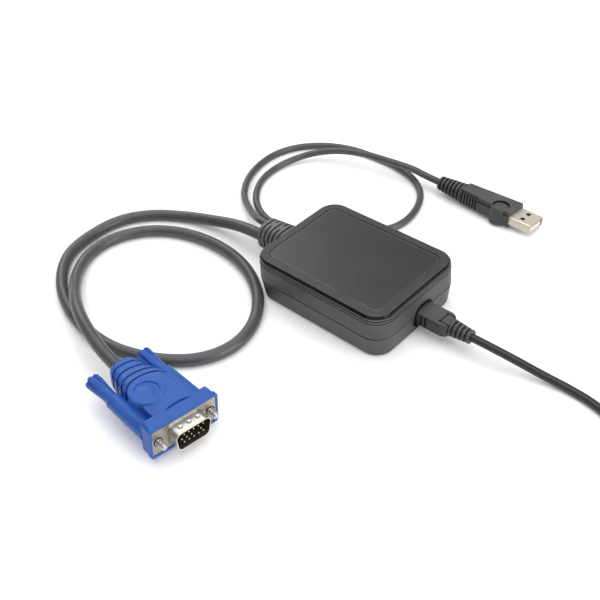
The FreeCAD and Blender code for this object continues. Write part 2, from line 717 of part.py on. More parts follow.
def vga_grip_grooves(body):
    """Grip grooves in the tail, as equal arcs that bulge to the cord and run over the top and the sides."""
    skin = body.cut(vga_body(VGA_RIB_DEPTH))
    reach = FLANGE_HALF_HEIGHT + 1
    tail = block(-VGA_LENGTH - 1, VGA_DISC_X, FLANGE_HALF_WIDTH, -reach, reach)
    grooves = []
    for index in range(VGA_RIBS):
        apex = VGA_RIB_FIRST - index * VGA_RIB_PITCH
        centre = Vector(apex + VGA_RIB_CURVE, VGA_RIB_Y, -reach)
        ring = Part.makeCylinder(VGA_RIB_CURVE, 2 * reach, centre)
        ring = ring.cut(Part.makeCylinder(VGA_RIB_CURVE - VGA_RIB_GROOVE, 2 * reach, centre))
        grooves.append(skin.common(ring.common(tail)))
    return grooves


def vga_ramps():
    """Finger ramps behind the flange on the boss's side, above and below."""
    ramp_height = vga_top() - VGA_RAMP_DEPTH + VGA_RAMP_RADIUS
    ramp_x = (VGA_DISC_X - FLANGE_DEPTH) / 2 + VGA_BOSS_RADIUS / 3
    ramps = []
    for side in (-1, 1):
        low = Vector(ramp_x, -FLANGE_HALF_WIDTH, side * ramp_height)
        high = Vector(ramp_x, VGA_RAMP_END_Y, side * (ramp_height + VGA_RAMP_DEPTH * 1.4))
        ramps.append(rod(VGA_RAMP_RADIUS, low, high))
    return ramps


def vga_nicks():
    """Crescent finger nicks along the flange's back edge, above and below."""
    radius = (VGA_NICK_HALF_WIDTH ** 2 + VGA_NICK_SAG ** 2) / (2 * VGA_NICK_SAG)
    low = vga_top() - VGA_NICK_DEPTH
    disc = Part.makeCylinder(radius, 2 * VGA_NICK_DEPTH, Vector(VGA_NICK_X - VGA_NICK_SAG + radius, VGA_NICK_Y, low))
    upper = disc.common(block(VGA_NICK_X - 2 * VGA_NICK_SAG, VGA_NICK_X, FLANGE_HALF_WIDTH, low,
                              low + 2 * VGA_NICK_DEPTH))
    return [upper, upper.mirror(Vector(0, 0, 0), Z_AXIS)]


def vga_disc_dish(side):
    """Ring-shaped dish on one end of the thumb boss, with a crowned middle."""
    level = vga_top() + VGA_BOSS_RISE
    dish = Part.makeCylinder(VGA_DISC_RADIUS, VGA_DISC_DEPTH, Vector(VGA_DISC_X, VGA_DISC_Y, side * level),
                             Vector(0, 0, -side))
    crown_radius = 3 * VGA_DISC_RADIUS
    crown_height = side * (level - VGA_DISC_DEPTH * 0.35 - crown_radius)
    return dish.cut(ball(crown_radius, Vector(VGA_DISC_X, VGA_DISC_Y, crown_height)))


def make_vga_hood():
    """Blue moulded hood: flange, two screw barrels, body with thumb boss and ribbed tail."""
    body = vga_body(0)
    for groove in vga_grip_grooves(body):
        body = body.cut(groove)
    for ramp in vga_ramps():
        body = body.cut(ramp)
    level = vga_top() + VGA_BOSS_RISE
    boss = Part.makeCylinder(VGA_BOSS_RADIUS, 2 * level, Vector(VGA_DISC_X, VGA_DISC_Y, -level))
    boss = boss.makeFillet(VGA_BOSS_EDGE, edges_at(boss, level) + edges_at(boss, -level))
    hood = body.fuse(boss)
    for side in (-1, 1):
        hood = hood.cut(vga_disc_dish(side))
    hood = hood.fuse(vga_flange())
    for nick in vga_nicks():
        hood = hood.cut(nick)
    for side in (-1, 1):
        y = side * JACK_SPAN / 2
        barrel = Part.makeCone(BARREL_END_RADIUS, BARREL_RADIUS, BARREL_LENGTH, Vector(BARREL_END_X, y, 0), X_AXIS)
        hood = hood.fuse(barrel)
    hood = hood.cut(bar(-PLATE_THICKNESS, RIM_REACH, PLATE_WIDTH / 2, PLATE_HEIGHT / 2, PLATE_CORNER))
    hood = hood.cut(d_prism(-FLANGE_DEPTH, -PLATE_THICKNESS, 0))
    for side in (-1, 1):
        y = side * JACK_SPAN / 2
        hood = hood.cut(rod(JACK_RADIUS + JACK_CLEARANCE, Vector(BARREL_END_X - 1, y, 0), Vector(0, y, 0)))
    return hood.removeSplitter()


def d_prism(x_start, x_end, inset):
    """Prism with the D outline of the connector, wide side up, drawn in by an inset."""
    half_height = DSHELL_HEIGHT / 2 - inset
    slant = math.tan(math.radians(DSHELL_SLANT))
    half_top = DSHELL_WIDTH / 2 - inset
    half_bottom = half_top - 2 * half_height * slant
    corners = [Vector(x_start, -half_top, half_height), Vector(x_start, half_top, half_height),
               Vector(x_start, half_bottom, -half_height), Vector(x_start, -half_bottom, -half_height)]
    face = Part.Face(Part.makePolygon(corners + [corners[0]]))
    prism = face.extrude(Vector(x_end - x_start, 0, 0))
    return prism.makeFillet(DSHELL_CORNER - inset, edges_along_x(prism))


def d_root_edges(shape):
    """Edges where the D-shell rises from its face plate."""
    found = []
    for edge in shape.Edges:
        box = edge.BoundBox
        flat = abs(box.XMin) < 1e-4 and abs(box.XMax) < 1e-4
        if flat and max(abs(box.YMin), abs(box.YMax)) < DSHELL_WIDTH / 2 + 0.1:
            found.append(edge)
    return found


def make_vga_shell():
    """Pressed steel face plate with the D-shaped shell that guides the pins."""
    plate = bar(-PLATE_THICKNESS, 0, PLATE_WIDTH / 2, PLATE_HEIGHT / 2, PLATE_CORNER)
    shell = plate.fuse(d_prism(-PLATE_THICKNESS, DSHELL_REACH, 0)).removeSplitter()
    shell = shell.makeFillet(DSHELL_ROOT_RADIUS, d_root_edges(shell))
    shell = shell.cut(d_prism(-PLATE_THICKNESS, DSHELL_REACH, DSHELL_WALL))
    for side in (-1, 1):
        y = side * JACK_SPAN / 2
        shell = shell.cut(rod(JACK_PLATE_HOLE, Vector(-PLATE_THICKNESS, y, 0), Vector(0, y, 0)))
    for index in range(DSHELL_DIMPLES):
        y = DSHELL_DIMPLE_PITCH * (index - (DSHELL_DIMPLES - 1) / 2)
        level = DSHELL_HEIGHT / 2 + DSHELL_DIMPLE_RADIUS - DSHELL_DIMPLE_DEPTH
        shell = shell.cut(ball(DSHELL_DIMPLE_RADIUS, Vector(DSHELL_REACH / 2, y, level)))
    return shell.removeSplitter()


def make_vga_insulator():
    """Black insulator that fills the D and reaches back into the hood."""
    front = d_prism(-PLATE_THICKNESS, INSULATOR_FRONT, DSHELL_WALL)
    return front.fuse(d_prism(-FLANGE_DEPTH, -PLATE_THICKNESS, DSHELL_WALL)).cut(vga_pin_rods()).removeSplitter()


def vga_pin_spots():
    """Pin places: three rows of five, the middle row set over by half a pitch, one place empty."""
    spots = []
    for row in range(3):
        shift = -PIN_PITCH / 4 if row == 1 else PIN_PITCH / 4
        for column in range(5):
            if row == 1 and column == 3:
                continue
            spots.append((PIN_PITCH * (column - 2) + shift, PIN_ROW_PITCH * (1 - row)))
    return spots


def vga_pin_rods():
    """All contact pins with rounded tips, as one compound."""
    pins = []
    for y, z in vga_pin_spots():
        pin = rod(PIN_RADIUS, Vector(-FLANGE_DEPTH, y, z), Vector(PIN_REACH, y, z))
        tip = [edge for edge in pin.Edges if edge.BoundBox.XMin > PIN_REACH - 0.01]
        pins.append(pin.makeFillet(PIN_RADIUS * 0.6, tip))
    return Part.makeCompound(pins)


def make_jackscrew(side):
    """Steel screw with its thread left plain: shank in the barrel and grip, nose past the plate."""
    y = side * JACK_SPAN / 2
    shank = rod(JACK_RADIUS, Vector(GRIP_FRONT_X - GRIP_SOCKET_DEPTH, y, 0), Vector(0, y, 0))
    nose = rod(JACK_THREAD_RADIUS, Vector(0, y, 0), Vector(JACK_REACH, y, 0))
    tip = [edge for edge in nose.Edges if edge.BoundBox.XMin > JACK_REACH - 0.01]
    nose = nose.makeChamfer(JACK_THREAD_RADIUS / 3, tip)
    return shank.fuse(nose).removeSplitter()


def make_grip(side):
    """Blue fluted thumb grip that flares away from the barrel and is pressed on the jackscrew."""
    y = side * JACK_SPAN / 2
    profile = [(GRIP_FRONT_X, 0), (GRIP_FRONT_X, GRIP_NECK_RADIUS + 0.4), (GRIP_FRONT_X - 1.2, GRIP_NECK_RADIUS),
               (GRIP_FRONT_X - 4.0, GRIP_NECK_RADIUS), (GRIP_END_X + 2 * GRIP_END_EDGE, GRIP_END_RADIUS),
               (GRIP_END_X, GRIP_END_RADIUS - GRIP_END_EDGE), (GRIP_END_X, 0)]
    points = [Vector(x, y, z) for x, z in profile]
    grip = Part.Face(Part.makePolygon(points + [points[0]])).revolve(Vector(0, y, 0), X_AXIS, 360)
    for index in range(GRIP_FLUTES):
        angle = 2 * math.pi * (index + 0.5) / GRIP_FLUTES
        out = Vector(0, math.cos(angle), math.sin(angle))
        near = Vector(GRIP_FRONT_X - 3.0, y, 0) + out * (GRIP_NECK_RADIUS + GRIP_FLUTE_RADIUS)
        far = Vector(GRIP_END_X - 1.0, y, 0) + out * (GRIP_END_RADIUS + GRIP_FLUTE_RADIUS - GRIP_FLUTE_DEPTH)
        grip = grip.cut(rod(GRIP_FLUTE_RADIUS, near, far))
    socket = rod(JACK_RADIUS, Vector(GRIP_FRONT_X - GRIP_SOCKET_DEPTH, y, 0), Vector(GRIP_FRONT_X + 1, y, 0))
    return grip.cut(socket)


# USB-A plugs

def make_usb_shell():
    """Folded steel shell, open at its mouth, with two square windows above and below."""
    back = -USB_SHELL_REACH - USB_SHELL_ROOT
    shell = bar(back, 0, USB_SHELL_WIDTH / 2, USB_SHELL_HEIGHT / 2, USB_SHELL_CORNER)
    shell = shell.cut(bar(back, 0, USB_SHELL_WIDTH / 2 - USB_SHELL_WALL, USB_SHELL_HEIGHT / 2 - USB_SHELL_WALL,
                          USB_SHELL_CORNER - USB_SHELL_WALL))
    reach = USB_SHELL_HEIGHT
    for side in (-1, 1):
        window = block(-USB_WINDOW_SETBACK - USB_WINDOW, -USB_WINDOW_SETBACK, USB_WINDOW / 2, -reach, reach,
                       side * USB_WINDOW_SPAN / 2)
        shell = shell.cut(window)
    return shell


def usb_tongue_top():
    """Level of the tongue's contact face."""
    return -USB_SHELL_HEIGHT / 2 + USB_SHELL_WALL + USB_TONGUE_THICKNESS


def make_usb_tongue():
    """Plastic tongue in the lower half of the shell, thickened at its root."""
    back = -USB_SHELL_REACH - USB_SHELL_ROOT
    low = -USB_SHELL_HEIGHT / 2 + USB_SHELL_WALL
    blade = block(back, -USB_TONGUE_SETBACK, USB_TONGUE_WIDTH / 2, low, usb_tongue_top())
    root = block(back, -USB_SHELL_REACH, USB_TONGUE_WIDTH / 2, low, -low)
    return blade.fuse(root).removeSplitter()


def make_usb_contacts():
    """Four gold contacts that lie on the tongue, the outer two longer."""
    contacts = []
    low = usb_tongue_top()
    for y, extra in ((-3.5, 1.0), (-1.0, 0.0), (1.0, 0.0), (3.5, 1.0)):
        front = -USB_TONGUE_SETBACK - 1.6 + extra
        contacts.append(block(front - USB_CONTACT_LENGTH, front, USB_CONTACT_WIDTH / 2, low,
                              low + USB_CONTACT_THICKNESS, y))
    return Part.makeCompound(contacts)


def usb_shell_pocket():
    """Space that the steel shell takes in a hood."""
    back = -USB_SHELL_REACH - USB_SHELL_ROOT
    return bar(back, 0, USB_SHELL_WIDTH / 2, USB_SHELL_HEIGHT / 2, USB_SHELL_CORNER)


def usb_hood_half_width(x):
    """Half width of the hood, narrowing from its front to the boot."""
    share = (-USB_SHELL_REACH - x) / USB_HOOD_LENGTH
    return (USB_HOOD_FRONT_WIDTH + (USB_HOOD_REAR_WIDTH - USB_HOOD_FRONT_WIDTH) * share) / 2


def usb_side_step(side, rear, front, half):
    """Shadow step that runs along one side of the hood below its top edge."""
    corners = []
    for x, inset in ((rear, USB_SIDE_STEP_DEPTH), (front, USB_SIDE_STEP_DEPTH), (front, -1.0), (rear, -1.0)):
        corners.append(Vector(x, side * (usb_hood_half_width(x) - inset), half - USB_HOOD_CORNER))
    face = Part.Face(Part.makePolygon(corners + [corners[0]]))
    return face.extrude(Vector(0, 0, USB_SIDE_STEP_HEIGHT))


def make_usb_hood():
    """Black moulded hood: tapered body, raised top plate, round thumb boss, ribbed boot."""
    front = -USB_SHELL_REACH
    rear = front - USB_HOOD_LENGTH
    half = USB_HOOD_THICKNESS / 2
    body = Part.makeLoft([section(front, usb_hood_half_width(front), half, USB_HOOD_CORNER),
                          section(rear, usb_hood_half_width(rear), half, USB_HOOD_CORNER)], True, True)
    top = half + USB_TOP_PLATE_RISE
    corners = []
    for x, side in ((front, 1), (rear, 1), (rear, -1), (front, -1)):
        corners.append(Vector(x, side * (usb_hood_half_width(x) - USB_TOP_PLATE_MARGIN), half - 0.4))
    plate = Part.Face(Part.makePolygon(corners + [corners[0]])).extrude(Vector(0, 0, top - half + 0.4))
    plate = plate.makeFillet(USB_TOP_PLATE_RISE * 0.6, edges_at(plate, top))
    body = body.fuse(plate)
    for side in (-1, 1):
        for index in range(USB_SIDE_NOTCHES):
            x = rear + USB_SIDE_NOTCH_WIDTH + index * USB_SIDE_NOTCH_PITCH
            y = side * usb_hood_half_width(x)
            body = body.cut(block(x, x + USB_SIDE_NOTCH_WIDTH, USB_SIDE_NOTCH_DEPTH, -half - 1, top + 1, y))
        step_rear = rear + USB_SIDE_NOTCH_WIDTH + USB_SIDE_NOTCHES * USB_SIDE_NOTCH_PITCH
        body = body.cut(usb_side_step(side, step_rear, front - USB_BOOT_GROOVE_WIDTH, half))
    boss = Part.makeCylinder(USB_DISC_RADIUS, top + half, Vector(USB_DISC_X, USB_DISC_Y, -half))
    boss = boss.makeFillet(USB_TOP_PLATE_RISE, edges_at(boss, top))
    boot = ribbed_boot(rear, rear - USB_BOOT_LENGTH, USB_BOOT_ROOT_RADIUS, USB_BOOT_END_RADIUS, USB_BOOT_RIBS,
                       USB_BOOT_GROOVE_WIDTH, USB_BOOT_GROOVE_DEPTH)
    hood = body.fuse(boss).fuse(boot)
    dish = Part.makeCylinder(USB_DISC_RADIUS - USB_DISC_RING, USB_DISC_DEPTH,
                             Vector(USB_DISC_X, USB_DISC_Y, top - USB_DISC_DEPTH))
    return hood.cut(dish).cut(usb_shell_pocket()).removeSplitter()


def usb_length():
    """Length of the USB plug from the shell's mouth to the end of its boot."""
    return USB_SHELL_REACH + USB_HOOD_LENGTH + USB_BOOT_LENGTH


def make_laptop_hood():
    """Plain moulded hood of the laptop end's USB-A plug."""
    front = -USB_SHELL_REACH
    rear = front - LAPTOP_HOOD_LENGTH
    half = LAPTOP_HOOD_THICKNESS / 2
    middle = front - LAPTOP_HOOD_LENGTH * 0.6
    body = Part.makeLoft([section(front, LAPTOP_HOOD_WIDTH / 2, half, LAPTOP_HOOD_CORNER),
                          section(middle, LAPTOP_HOOD_WIDTH / 2, half, LAPTOP_HOOD_CORNER),
                          section(rear, LAPTOP_HOOD_WIDTH / 3, half * 0.95, LAPTOP_HOOD_CORNER)], True, True)
    boot = ribbed_boot(rear, rear - LAPTOP_BOOT_LENGTH, LAPTOP_BOOT_ROOT_RADIUS, LAPTOP_BOOT_END_RADIUS,
                       LAPTOP_BOOT_RIBS, LAPTOP_BOOT_GROOVE_WIDTH, LAPTOP_BOOT_GROOVE_DEPTH)
    return body.fuse(boot).cut(usb_shell_pocket()).removeSplitter()


def laptop_plug_length():
    """Length of the laptop plug from the shell's mouth to the end of its boot."""
    return USB_SHELL_REACH + LAPTOP_HOOD_LENGTH + LAPTOP_BOOT_LENGTH


# Mini-B plug

def mini_hood_front():
    """Front face of the mini-B hood, just in front of the socket's mouth."""
    return socket_front_x() + MINI_HOOD_INSET


def mini_boot_end():
    """Where the laptop cord enters the mini-B plug's boot."""
    return mini_hood_front() + MINI_HOOD_LENGTH + MINI_BOOT_LENGTH


def mini_top_plate(front, rear, half_width, half):
    """Raised plate on the upper face of the mini-B hood, rounded at the cord's end as the hood is."""
    outline = [(front, half_width - MINI_PLATE_MARGIN)]
    for back, inset in MINI_HOOD_ROUNDING:
        outline.append((rear - back - MINI_PLATE_MARGIN, half_width - inset - MINI_PLATE_MARGIN))
    foot = half - MINI_PLATE_RISE
    corners = [Vector(x, y, foot) for x, y in outline] + [Vector(x, -y, foot) for x, y in reversed(outline)]
    return Part.Face(Part.makePolygon(corners + [corners[0]])).extrude(Vector(0, 0, 2 * MINI_PLATE_RISE))


def mini_tab_groove(step, rear, top):
    """Groove round three sides of the tab in the raised plate, open to the cord."""
    low = top - MINI_TAB_GROOVE_DEPTH
    outer = block(step, rear + 1, MINI_TAB_WIDTH / 2 + MINI_TAB_GROOVE, low, top + 1)
    return outer.cut(block(step + MINI_TAB_GROOVE, rear + 2, MINI_TAB_WIDTH / 2, low - 1, top + 2))


def make_mini_hood():
    """Black moulded hood of the mini-B plug with a raised grip plate and a ribbed boot."""
    front = mini_hood_front()
    rear = front + MINI_HOOD_LENGTH
    half_width = MINI_HOOD_WIDTH / 2
    half = MINI_HOOD_HEIGHT / 2
    wires = [section(front, half_width, half, MINI_HOOD_CORNER)]
    for back, inset in MINI_HOOD_ROUNDING:
        wires.append(section(rear - back, half_width - inset, half, MINI_HOOD_CORNER))
    body = Part.makeLoft(wires, True, True)
    step = front + MINI_HOOD_INSET + SOCKET_SETBACK + MINI_PLATE_LENGTH
    top = half + MINI_PLATE_RISE
    for side in (-1, 1):
        for index in range(MINI_WAISTS):
            waist = front + SOCKET_SETBACK + MINI_WAIST_FIRST + index * MINI_WAIST_PITCH
            body = body.cut(block(waist, waist + MINI_WAIST_WIDTH, MINI_WAIST_DEPTH, -half - 1, half + 1,
                                  side * half_width))
    upper = mini_top_plate(front, rear, half_width, half).cut(mini_tab_groove(step, rear, top))
    body = body.fuse(upper).fuse(upper.mirror(Vector(0, 0, 0), Z_AXIS))
    for side in (-1, 1):
        pit = Vector(step, side * MINI_PIT_SPAN / 2, top - 2 * MINI_TAB_GROOVE_DEPTH)
        body = body.cut(Part.makeCylinder(MINI_PIT_RADIUS, 4 * MINI_TAB_GROOVE_DEPTH, pit))
    boot = ribbed_boot(-rear, -rear - MINI_BOOT_LENGTH, MINI_BOOT_ROOT_RADIUS, MINI_BOOT_END_RADIUS,
                       MINI_BOOT_RIBS, MINI_BOOT_GROOVE_WIDTH, MINI_BOOT_GROOVE_DEPTH)
    boot.rotate(Vector(0, 0, 0), Z_AXIS, 180)
    nose = bar(front, front + MINI_NOSE_ROOT, MINI_NOSE_WIDTH / 2, MINI_NOSE_HEIGHT / 2, MINI_NOSE_CORNER)
    hood = body.fuse(boot).cut(nose).removeSplitter()
    hood.translate(Vector(0, PORT_Y, PORT_Z))
    return hood


def make_mini_nose():
    """Steel nose of the mini-B plug, inside the socket."""
    front = mini_hood_front()
    shell = bar(front - MINI_NOSE_LENGTH, front + MINI_NOSE_ROOT, MINI_NOSE_WIDTH / 2, MINI_NOSE_HEIGHT / 2,
                MINI_NOSE_CORNER, PORT_Y, PORT_Z)
    hollow = bar(front - MINI_NOSE_LENGTH, front + MINI_NOSE_ROOT, MINI_NOSE_WIDTH / 2 - MINI_NOSE_WALL,
                 MINI_NOSE_HEIGHT / 2 - MINI_NOSE_WALL, MINI_NOSE_CORNER - MINI_NOSE_WALL, PORT_Y, PORT_Z)
    return shell.cut(hollow)


def make_mini_insert():
    """Plastic contact carrier on the floor of the nose, below the socket's tongue."""
    front = mini_hood_front()
    low = PORT_Z - MINI_NOSE_HEIGHT / 2 + MINI_NOSE_WALL
    half_width = MINI_NOSE_WIDTH / 2 - MINI_NOSE_CORNER
    carrier = block(front - MINI_NOSE_LENGTH + 0.4, front + MINI_NOSE_ROOT, half_width, low,
                    low + MINI_INSERT_THICKNESS, PORT_Y)
    root = block(front, front + MINI_NOSE_ROOT, half_width, low, low + MINI_NOSE_HEIGHT - 2 * MINI_NOSE_WALL, PORT_Y)
    return carrier.fuse(root).removeSplitter()


# Coil and tie

def make_coil():
    """Outer shape of the put-away coil: a flat ring with rounded edges that lies on its tie."""
    middle = Vector(COIL_CENTRE.x + COIL_MID_RADIUS, COIL_CENTRE.y, COIL_BASE_Z + COIL_HEIGHT / 2)
    profile = rounded_outline(middle, X_AXIS, Z_AXIS, COIL_HALF_WIDTH, COIL_HEIGHT / 2, COIL_EDGE)
    return Part.Face(profile).revolve(COIL_CENTRE, Z_AXIS, 360)


def make_coil_tie():
    """Flat tie closed round the coil's turns at one place."""
    inner_half = COIL_HALF_WIDTH + TIE_CLEARANCE
    outer_half = inner_half + TIE_THICKNESS
    top = COIL_BASE_Z + COIL_HEIGHT + TIE_CLEARANCE
    band = block(-TIE_WIDTH / 2, TIE_WIDTH / 2, outer_half, 0, top + TIE_THICKNESS)
    band = band.makeFillet(TIE_THICKNESS, edges_along_x(band))
    band = band.cut(block(-TIE_WIDTH, TIE_WIDTH, inner_half, TIE_THICKNESS, top))
    band.translate(Vector(0, -COIL_MID_RADIUS, 0))
    band.rotate(Vector(0, 0, 0), Z_AXIS, TIE_ANGLE)
    band.translate(COIL_CENTRE)
    return band


# Places of the plugs and routes of the cords

def lying_place(hood, spot, yaw, nose_down, roll):
    """Placement that lays a plug on the floor with its lowest edge touching it."""
    place = Placement(spot, Rotation(yaw, nose_down, roll))
    points, _ = hood.tessellate(0.05)
    lowest = min(place.multVec(point).z for point in points)
    return Placement(spot - Vector(0, 0, lowest), Rotation(yaw, nose_down, roll))


def vga_route(plug):
    """Points of the video cord, from the strain relief to the plug."""
    lead = VGA_CORD / 2
    entry = Vector(-VGA_LENGTH, 0, 0)
    return [
        Vector(relief_end_x(), VGA_EXIT_Y, RELIEF_Z),
        Vector(-66.0, VGA_EXIT_Y, RELIEF_Z),
        Vector(-78.0, -3.4, 8.4),
        Vector(-92.0, -5.2, 4.0),
        Vector(-107.5, -9.4, lead),
        Vector(-123.0, -19.4, lead),
        Vector(-133.2, -34.4, lead),
        Vector(-135.4, -51.8, lead),
        Vector(-128.4, -68.8, lead),
        Vector(-112.6, -82.6, lead),
        Vector(-94.4, -93.0, lead),
        Vector(-77.5, -97.0, lead),
        Vector(-61.0, -95.4, lead),
        Vector(-47.4, -91.6, lead),
        Vector(-35.0, -85.6, lead),
        Vector(-24.4, -75.4, lead),
        Vector(-19.2, -61.6, lead),
        Vector(-20.4, -46.6, lead),
        Vector(-27.8, -33.6, lead),
        Vector(-40.8, -24.6, lead),
        Vector(-56.8, -18.4, lead),
        Vector(-74.0, -15.0, lead),
        Vector(-91.4, -16.0, lead),
        Vector(-106.0, -21.6, lead),
        Vector(-116.6, -32.0, lead),
        Vector(-121.9, -46.2, lead),
        Vector(-120.6, -61.4, lead),
        Vector(-113.6, -74.6, 3.6),
        Vector(-101.6, -85.0, 7.4),
        Vector(-86.0, -91.8, 12.8),
        Vector(-70.0, -97.8, 14.4),
        plug.multVec(entry - Vector(11.0, 0, 0)),
        plug.multVec(entry),
    ]


def usb_route(plug):
    """Points of the USB cord: under its own loop, behind the box, back over, and to the plug."""
    lead = USB_CORD / 2
    entry = Vector(-usb_length(), 0, 0)
    return [
        Vector(relief_end_x(), USB_EXIT_Y, RELIEF_Z),
        Vector(-63.5, USB_EXIT_Y, RELIEF_Z),
        Vector(-73.5, 7.6, 8.2),
        Vector(-85.0, 14.6, 4.4),
        Vector(-97.6, 24.0, lead),
        Vector(-108.0, 36.0, lead),
        Vector(-113.8, 49.8, lead),
        Vector(-113.8, 64.0, lead),
        Vector(-107.8, 77.4, lead),
        Vector(-97.0, 87.8, lead),
        Vector(-83.0, 93.8, lead),
        Vector(-67.4, 95.4, lead),
        Vector(-51.4, 94.0, lead),
        Vector(-36.6, 89.6, lead),
        Vector(-24.2, 81.6, lead),
        Vector(-17.0, 70.2, lead),
        Vector(-14.9, 58.4, lead),
        Vector(-18.4, 47.6, lead),
        Vector(-26.8, 38.8, lead),
        Vector(-36.6, 30.4, lead),
        Vector(-46.4, 22.4, lead),
        Vector(-57.2, 16.4, lead),
        Vector(-69.6, 15.6, lead),
        Vector(-82.0, 20.0, lead),
        Vector(-92.6, 28.0, lead),
        Vector(-100.0, 39.4, lead),
        Vector(-102.6, 52.0, lead),
        Vector(-99.6, 64.6, 2.6),
        Vector(-91.6, 75.0, 5.0),
        Vector(-79.6, 81.4, 7.8),
        Vector(-64.6, 85.2, 9.2),
        Vector(-49.0, 87.8, 9.2),
        Vector(-36.5, 89.0, 9.0),
        plug.multVec(entry - Vector(9.0, 0, 0)),
        plug.multVec(entry),
    ]


def laptop_route():
    """Points of the laptop cord from the mini-B plug to the outer turn of its coil."""
    lead = LAPTOP_CORD / 2
    side = COIL_CENTRE - Vector(0, COIL_OUTER_TURN, 0)
    return [
        Vector(mini_boot_end(), PORT_Y, PORT_Z),
        Vector(71.6, PORT_Y, PORT_Z),
        Vector(82.0, 2.8, 7.4),
        Vector(94.0, 5.8, 3.4),
        Vector(106.0, 7.2, lead),
        Vector(118.0, 6.0, lead),
        Vector(129.0, 1.8, lead + COIL_BASE_Z / 2),
        Vector(side.x - 12.5, side.y, lead + COIL_BASE_Z),
        Vector(side.x - 0.5, side.y + 0.2, lead + COIL_BASE_Z),
    ]


def tail_route(plug):
    """Points of the laptop cord from the coil's outer turn to its USB-A plug."""
    angle = math.radians(COIL_LEAVES_AT)
    start = COIL_CENTRE + Vector(math.cos(angle), math.sin(angle), 0) * COIL_OUTER_TURN
    level = COIL_BASE_Z + (COIL_LAYERS - 0.5) * LAPTOP_CORD
    entry = Vector(-laptop_plug_length(), 0, 0)
    return [
        start + Vector(0, 0, level),
        start + Vector(6.6, 3.9, level),
        Vector(178.4, 9.0, level - 1.0),
        plug.multVec(entry - Vector(9.0, 0, 0)),
        plug.multVec(entry),
    ]


def main():
    """Build every sub-part and write one STEP file for each."""
    vga_hood = make_vga_hood()
    usb_hood = make_usb_hood()
    laptop_hood = make_laptop_hood()
    vga_place = lying_place(vga_hood, VGA_PLACE, VGA_YAW, VGA_NOSE_DOWN, VGA_ROLL)
    usb_place = lying_place(usb_hood, USB_PLACE, USB_YAW, USB_NOSE_DOWN, USB_ROLL)
    laptop_place = lying_place(laptop_hood, LAPTOP_PLUG_PLACE, LAPTOP_PLUG_YAW, 0, 0)
    for name, place in (("vga", vga_place), ("usb", usb_place), ("laptop", laptop_place)):
        print(name, "mating face", place.Base, "faces", place.Rotation.multVec(X_AXIS))
    for name, side in (("left", -1), ("right", 1)):
        print(name, "jackscrew at the plate", vga_place.multVec(Vector(0, side * JACK_SPAN / 2, 0)))
    parts = {
        "lower_shell": make_lower_shell(),
        "upper_shell": make_upper_shell(),
        "top_bezel": make_top_bezel(),
        "top_panel": make_top_panel(),
        "case_screws": make_case_screws(),
        "circuit_board": make_circuit_board(),
        "video_chip": make_chip(-6, 4, VIDEO_CHIP_SIDE, VIDEO_CHIP_SIDE),
        "usb_chip": make_chip(10, 4, USB_CHIP_SIDE, USB_CHIP_SIDE),
        "memory_chip": make_chip(-7, -13, MEMORY_CHIP_LENGTH, MEMORY_CHIP_WIDTH),
        "crystal": make_crystal(),
        "capacitors": make_capacitors(),
        "mini_socket_shell": make_mini_socket_shell(),
        "mini_socket_tongue": make_mini_socket_tongue(),
        "vga_header": make_header(VGA_EXIT_Y, VGA_HEADER_WIDTH),
        "usb_header": make_header(USB_EXIT_Y + USB_HEADER_SHIFT, USB_HEADER_WIDTH),
        "vga_wires": make_wires(VGA_EXIT_Y, 6, 2),
        "usb_wires": make_wires(USB_EXIT_Y + USB_HEADER_SHIFT, 2, 2),
        "strain_relief": make_strain_relief(),
    }
    video_plug = {
        "vga_hood": vga_hood,
        "vga_shell": make_vga_shell(),
        "vga_insulator": make_vga_insulator(),
        "vga_pins": vga_pin_rods(),
        "left_grip": make_grip(-1),
        "left_jackscrew": make_jackscrew(-1),
        "right_grip": make_grip(1),
        "right_jackscrew": make_jackscrew(1),
    }
    usb_plug = {
        "usb_hood": usb_hood,
        "usb_shell": make_usb_shell(),
        "usb_tongue": make_usb_tongue(),
        "usb_contacts": make_usb_contacts(),
    }
    laptop_plug = {
        "laptop_plug_hood": laptop_hood,
        "laptop_plug_shell": make_usb_shell(),
        "laptop_plug_tongue": make_usb_tongue(),
        "laptop_plug_contacts": make_usb_contacts(),
    }
    for plug, place in ((video_plug, vga_place), (usb_plug, usb_place), (laptop_plug, laptop_place)):
        for name, shape in plug.items():
            shape.Placement = place
            parts[name] = shape
    parts["mini_plug_hood"] = make_mini_hood()
    parts["mini_plug_nose"] = make_mini_nose()
    parts["mini_plug_insert"] = make_mini_insert()
    parts["vga_cable"] = cord_tube("vga_cable", vga_route(vga_place), VGA_CORD)
    parts["usb_cable"] = cord_tube("usb_cable", usb_route(usb_place), USB_CORD)
    coil = make_coil()
    parts["laptop_coil"] = coil
    parts["laptop_cable"] = cord_tube("laptop_cable", laptop_route(), LAPTOP_CORD).cut(coil)
    parts["laptop_tail"] = cord_tube("laptop_tail", tail_route(laptop_place), LAPTOP_CORD).cut(coil)
    parts["coil_tie"] = make_coil_tie()
    os.makedirs("parts", exist_ok=True)
    for name, shape in parts.items():
        shape.exportStep("parts/%s.step" % name)
        print(name, "valid", shape.isValid(), "solids", len(shape.Solids), "volume %.1f" % shape.Volume)


main()
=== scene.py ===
"""Looks of a laptop console adapter: a black box, its three cords and their plugs on a pale studio floor."""

import json
import logging
import math
from dataclasses import astuple, dataclass
from enum import Enum

import bpy
from mathutils import Matrix, Vector


